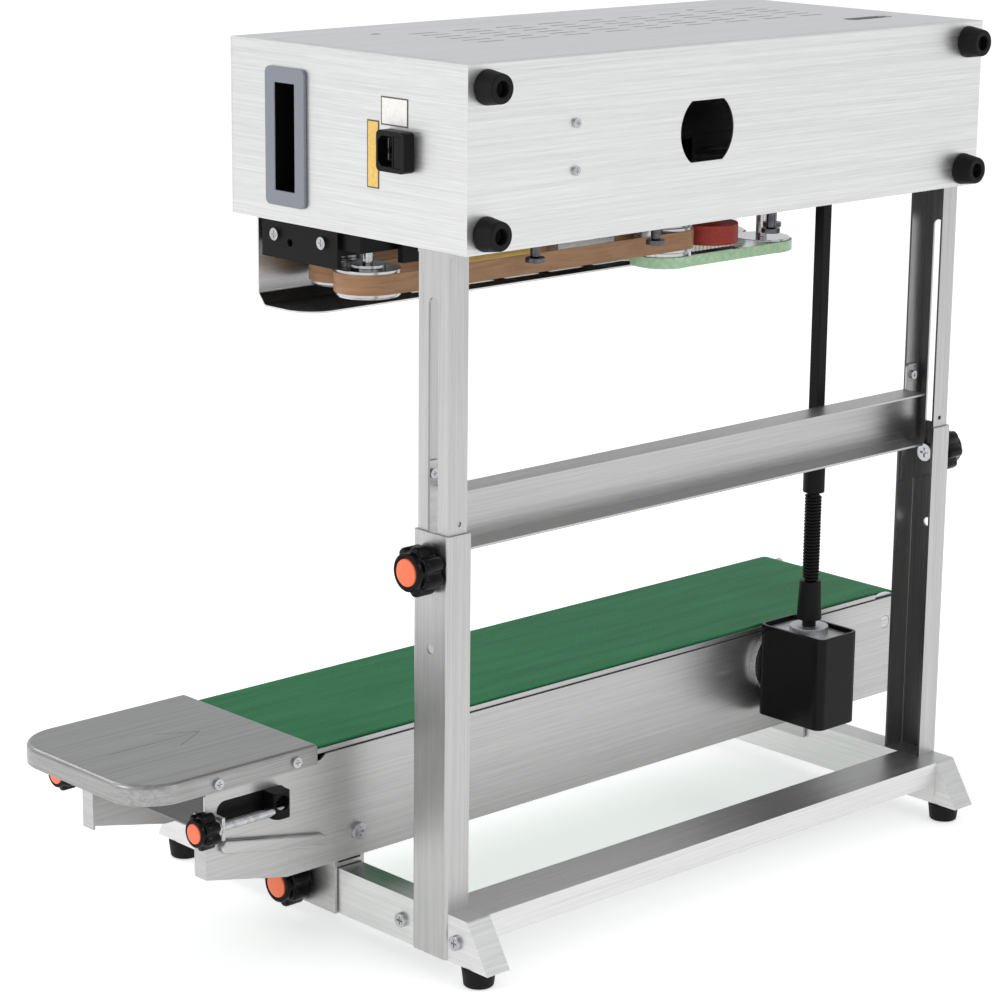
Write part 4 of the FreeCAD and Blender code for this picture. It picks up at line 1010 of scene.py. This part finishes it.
# %% Flexible coupling
low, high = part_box("flexible_coupling")
axis = (low + high) / 2
wire, coil_radius, pitch = 0.0013, 0.0062, 0.0029
turns = int((high.z - low.z - 2 * wire) / pitch)
bpy.ops.mesh.primitive_circle_add(vertices=12, radius=wire, rotation=(math.pi / 2, 0, 0),
                                  location=(coil_radius, 0, wire))
coil = bpy.context.object
bpy.ops.object.transform_apply(location=True, rotation=True)
sweep = coil.modifiers.new("sweep", "SCREW")
sweep.angle, sweep.screw_offset, sweep.iterations = 2 * math.pi, pitch, turns
sweep.steps = sweep.render_steps = 28
bpy.ops.object.modifier_apply(modifier="sweep")
edit(coil)
bpy.ops.mesh.select_all(action="SELECT")
bpy.ops.mesh.remove_doubles(threshold=0.00001)
bpy.ops.mesh.select_mode(type="EDGE")
bpy.ops.mesh.select_all(action="DESELECT")
bpy.ops.mesh.select_non_manifold()
bpy.ops.mesh.edge_face_add()
bpy.ops.mesh.select_all(action="SELECT")
bpy.ops.mesh.normals_make_consistent(inside=False)
leave()
smooth(coil)
CORE_RADIUS = 0.0055
core = copy_at(shank, Matrix.Diagonal((CORE_RADIUS, CORE_RADIUS, high.z - low.z, 1)))
coupling = join([coil, core])
coupling.data.transform(Matrix.Translation((axis.x, axis.y, low.z)))
settle(coupling, "wire_coil_coupling", black_paint, "gearbox_input", ("flexible_coupling",))
print("coil turns", turns)

# %% [markdown]
# ## Dark strips in the slots
# Behind each slot for the tensioner a black strip slides with the roller's axle. It paints the shade seen
# through the slot, together with the roller's dark end, and hides the belt's edge. It is a thin plate
# with a hole cut for the axle by a boolean.

# %% Dark strips in the slots
SHADE_STRIP, SHADE_STRIP_GAP, AXLE_HOLE = (0.082, 0.0010, 0.027), 0.0022, 0.0065
axle_low, axle_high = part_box("infeed_roller")
belt_low, belt_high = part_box("conveyor_belt")
axle_x, axle_z = (axle_low.x + axle_high.x) / 2, (axle_low.z + axle_high.z) / 2
shade_strips = []
for inner_y in (belt_high.y + SHADE_STRIP_GAP, belt_low.y - SHADE_STRIP_GAP):
    bpy.ops.mesh.primitive_cube_add(size=1, location=(axle_x + 0.017, inner_y, axle_z - 0.001),
                                    scale=SHADE_STRIP)
    strip = bpy.context.object
    bpy.ops.object.transform_apply(scale=True)
    bpy.ops.mesh.primitive_cylinder_add(vertices=40, radius=AXLE_HOLE, depth=0.01,
                                        rotation=(math.pi / 2, 0, 0), location=(axle_x, inner_y, axle_z))
    drill = bpy.context.object
    select(strip)
    hole = strip.modifiers.new("hole", "BOOLEAN")
    hole.operation, hole.object = "DIFFERENCE", drill
    bpy.ops.object.modifier_apply(modifier="hole")
    bpy.data.objects.remove(drill)
    shade_strips.append(strip)
# Painted shade: black strips that make the slots look dark.
settle(join(shade_strips), "slot_shade_strips", satin_abs, "carriage")
print("shutters beside the belt at y", round(belt_high.y, 4), round(belt_low.y, 4))

# %% [markdown]
# ## Nose sheet and stiffening ribs
# A sheet closes the conveyor's nose, with its lower edge folded back. Each side plate is stiffened
# by a long pressed rib that lies at a slant. It is a flat bar whose corners are rounded first, and
# then its two outlines, so that it looks pressed out of the plate.

# %% Nose sheet
NOSE_GAP, NOSE_FOLD = 0.0045, (-0.008, 0, -0.006)
nose_x, width = belt_high.x + NOSE_GAP, belt_high.y - belt_low.y
bpy.ops.mesh.primitive_cube_add(size=1, location=(nose_x, (belt_high.y + belt_low.y) / 2, axle_z - 0.006),
                                scale=(0.0014, width + 0.004, 0.048))
nose = bpy.context.object
bpy.ops.object.transform_apply(scale=True)
edit(nose)
pick(lambda place, normal: normal.z < -0.9)
bpy.ops.mesh.extrude_region_move(TRANSFORM_OT_translate={"value": NOSE_FOLD})
pick(lambda place, along: abs(along.y) > 0.9, "EDGE")
bpy.ops.mesh.bevel(offset=0.0005, segments=2, affect="EDGES")
leave()
# The nose sheet takes the darkest copy of the steel, the one that paints shade.
settle(smooth(nose), "nose_sheet", painted_shade_steel[1], "conveyor")
print("nose sheet at x", round(nose_x, 4))

# %% Stiffening ribs
RIB, RIB_CORNER, RIB_RIM = (0.104, 0.0050, 0.0110), 0.0053, 0.0022
RIB_DROP, RIB_RUN, RIB_HEIGHT = 0.019, 0.102, 0.114
plate_face = belt_high.y + 0.0060
rib_tilt = math.atan2(RIB_DROP, RIB_RUN)
bpy.ops.mesh.primitive_cube_add(size=1, scale=RIB)
rib = bpy.context.object
bpy.ops.object.transform_apply(scale=True)
edit(rib)
pick(lambda place, along: abs(along.y) > 0.9, "EDGE")
bpy.ops.mesh.bevel(offset=RIB_CORNER, segments=8, affect="EDGES")
pick(lambda place, normal: abs(normal.y) > 0.9)
bpy.ops.mesh.region_to_loop()
bpy.ops.mesh.bevel(offset=RIB_RIM, segments=5, affect="EDGES")
leave()
smooth(rib, 60)
middle_y = (belt_high.y + belt_low.y) / 2
out = plate_face - middle_y + 0.0006
ribs = []
for way in (1, -1):
    spot = Matrix.Translation((axle_x - 0.001, middle_y + way * out, RIB_HEIGHT))
    ribs.append(copy_at(rib, spot @ Matrix.Rotation(-rib_tilt, 4, "Y")))
bpy.data.objects.remove(rib)
settle(join(ribs), "side_plate_ribs", shaded_stand_steel[0], "conveyor")
print("ribs on faces at y", round(plate_face, 4))

# %% [markdown]
# ## Grip wells
# The hand grips are wells of grey-blue plastic. The faces that lie deeper than the rim get black plastic,
# which paints the shade inside the wells.

# %% Grip wells
wells = bpy.data.objects["rounded_handle_cups"]
well_low, well_high = corners([v.co for v in wells.data.vertices])
wells.data.materials.append(satin_abs)
RIM_DEPTH = 0.0035
painted_shade_faces = 0
for face in wells.data.polygons:
    depth = min(abs(face.center.x - well_low.x), abs(face.center.x - well_high.x))
    # Painted shade: faces deeper than the rim turn black.
    if depth >= RIM_DEPTH:
        face.material_index = len(wells.data.materials) - 1
        painted_shade_faces += 1
print("dark faces in the wells", painted_shade_faces, "of", len(wells.data.polygons))

# %% [markdown]
# ## Labels and the engraved arrow
# Two printed films stand beside the mains inlet, here left blank: a white one and a yellow one,
# each with a dark border. They are thin plates inset for the border. An arrow is engraved in the
# infeed plate, pointing to the belt; a shallow V-groove is too fine to cut into the mesh, so it is
# drawn as three hair-thin dark strips on the surface.

# %% Labels
LABEL_THICKNESS, BORDER, PRINT = 0.0004, 0.0011, 0.00005


def label(name, centre, width, tall, finish):
    """A film on the infeed end of the head, with a dark border."""
    bpy.ops.mesh.primitive_cube_add(size=1, location=(centre[0] + 0.0001, centre[1], centre[2]),
                                    scale=(LABEL_THICKNESS, width, tall))
    film = bpy.context.object
    bpy.ops.object.transform_apply(scale=True)
    film.data.materials.append(ink)
    film.data.materials.append(finish)
    edit(film)
    pick(lambda place, normal: normal.x > 0.9)
    bpy.ops.mesh.inset(thickness=BORDER)
    film.active_material_index = 1
    bpy.ops.object.material_slot_assign()
    bpy.ops.mesh.extrude_region_move(TRANSFORM_OT_translate={"value": (PRINT, 0, 0)})
    leave()
    return settle(film, name, None, "head")


head_low, head_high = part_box("head_housing")
inlet_low, inlet_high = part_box("power_inlet")
inlet_middle = (inlet_low + inlet_high) / 2
above_inlet = (head_high.x, inlet_middle.y - 0.0060, inlet_high.z + 0.0130)
beside_inlet = (head_high.x, inlet_low.y - 0.0145, inlet_middle.z - 0.0055)
label("white_label", above_inlet, 0.0305, 0.0215, white_film)
label("yellow_label", beside_inlet, 0.0136, 0.0515, yellow_film)
print("labels on the face at x", round(head_high.x, 4))

# %% Engraved arrow
plate_low, plate_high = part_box("infeed_plate")
middle_y = (plate_low.y + plate_high.y) / 2
tip = Vector((plate_low.x + 0.0500, middle_y, plate_high.z))
ARROW_LENGTH, BARB_BACK, BARB_OUT = 0.0870, 0.0320, 0.0175
LINE_WIDTH, LINE_THICKNESS = 0.0006, 0.00012
strokes = []
for x, y in ((ARROW_LENGTH, 0), (BARB_BACK, -BARB_OUT), (BARB_BACK, BARB_OUT)):
    tail = Vector((x, y, 0))
    bpy.ops.mesh.primitive_cylinder_add(vertices=8, radius=0.5, depth=1, rotation=(0, math.pi / 2, 0))
    stroke = bpy.context.object
    bpy.ops.object.transform_apply(rotation=True)
    edit(stroke)
    pick(lambda place, normal: abs(normal.x) > 0.9)
    bpy.ops.mesh.inset(thickness=0.1)
    bpy.ops.transform.resize(value=(1.02, 0.4, 0.4))
    leave()
    heading = math.atan2(tail.y, tail.x)
    stroke.data.transform(Matrix.Translation(tip + tail / 2) @ Matrix.Rotation(heading, 4, "Z")
                          @ Matrix.Diagonal((tail.length, LINE_WIDTH, LINE_THICKNESS, 1)))
    strokes.append(stroke)
settle(join(strokes), "engraved_arrow", dark_steel, "conveyor")
print("arrow tip at", [round(v, 4) for v in tip])

# %% [markdown]
# ## Temperature controller
# The square controller on the front panel has a dark window over its figures, and four soft keys
# under it. The keys are small pillows: a box, bevelled all round.

# %% Controller window and keys
KEY, KEY_STEP = (0.0070, 0.0016, 0.0050), 0.0100
low, high = corners(max(solids_of("panel_instruments"), key=bulk))
face_y, centre_x = low.y, (low.x + high.x) / 2
bpy.ops.mesh.primitive_cube_add(size=1, location=(centre_x, face_y + 0.0008, high.z - 0.0160),
                                scale=(0.0374, 0.0006, 0.0194))
window = bpy.context.object
bpy.ops.object.transform_apply(scale=True)
edit(window)
bpy.ops.mesh.select_all(action="SELECT")
bpy.ops.mesh.bevel(offset=0.0002, segments=2, affect="EDGES")
leave()
settle(window, "controller_window", window_glass, "head")
keys = []
for i in range(4):
    key_x = centre_x + (i - 1.5) * KEY_STEP
    bpy.ops.mesh.primitive_cube_add(size=1, location=(key_x, face_y - 0.0004, low.z + 0.0100), scale=KEY)
    key = bpy.context.object
    bpy.ops.object.transform_apply(scale=True)
    edit(key)
    bpy.ops.mesh.select_all(action="SELECT")
    bpy.ops.mesh.bevel(offset=0.0006, segments=3, affect="EDGES")
    leave()
    keys.append(smooth(key))
settle(join(keys), "controller_keys", grey_abs, "head")
print("controller face at y", round(face_y, 4))

# %% [markdown]
# ## Last step
# The shapes that were only patterns for copies are removed.

# %% Finish
for pattern in (pan, shank, star, cap, washer):
    bpy.data.objects.remove(pattern)
bpy.ops.object.select_all(action="DESELECT")
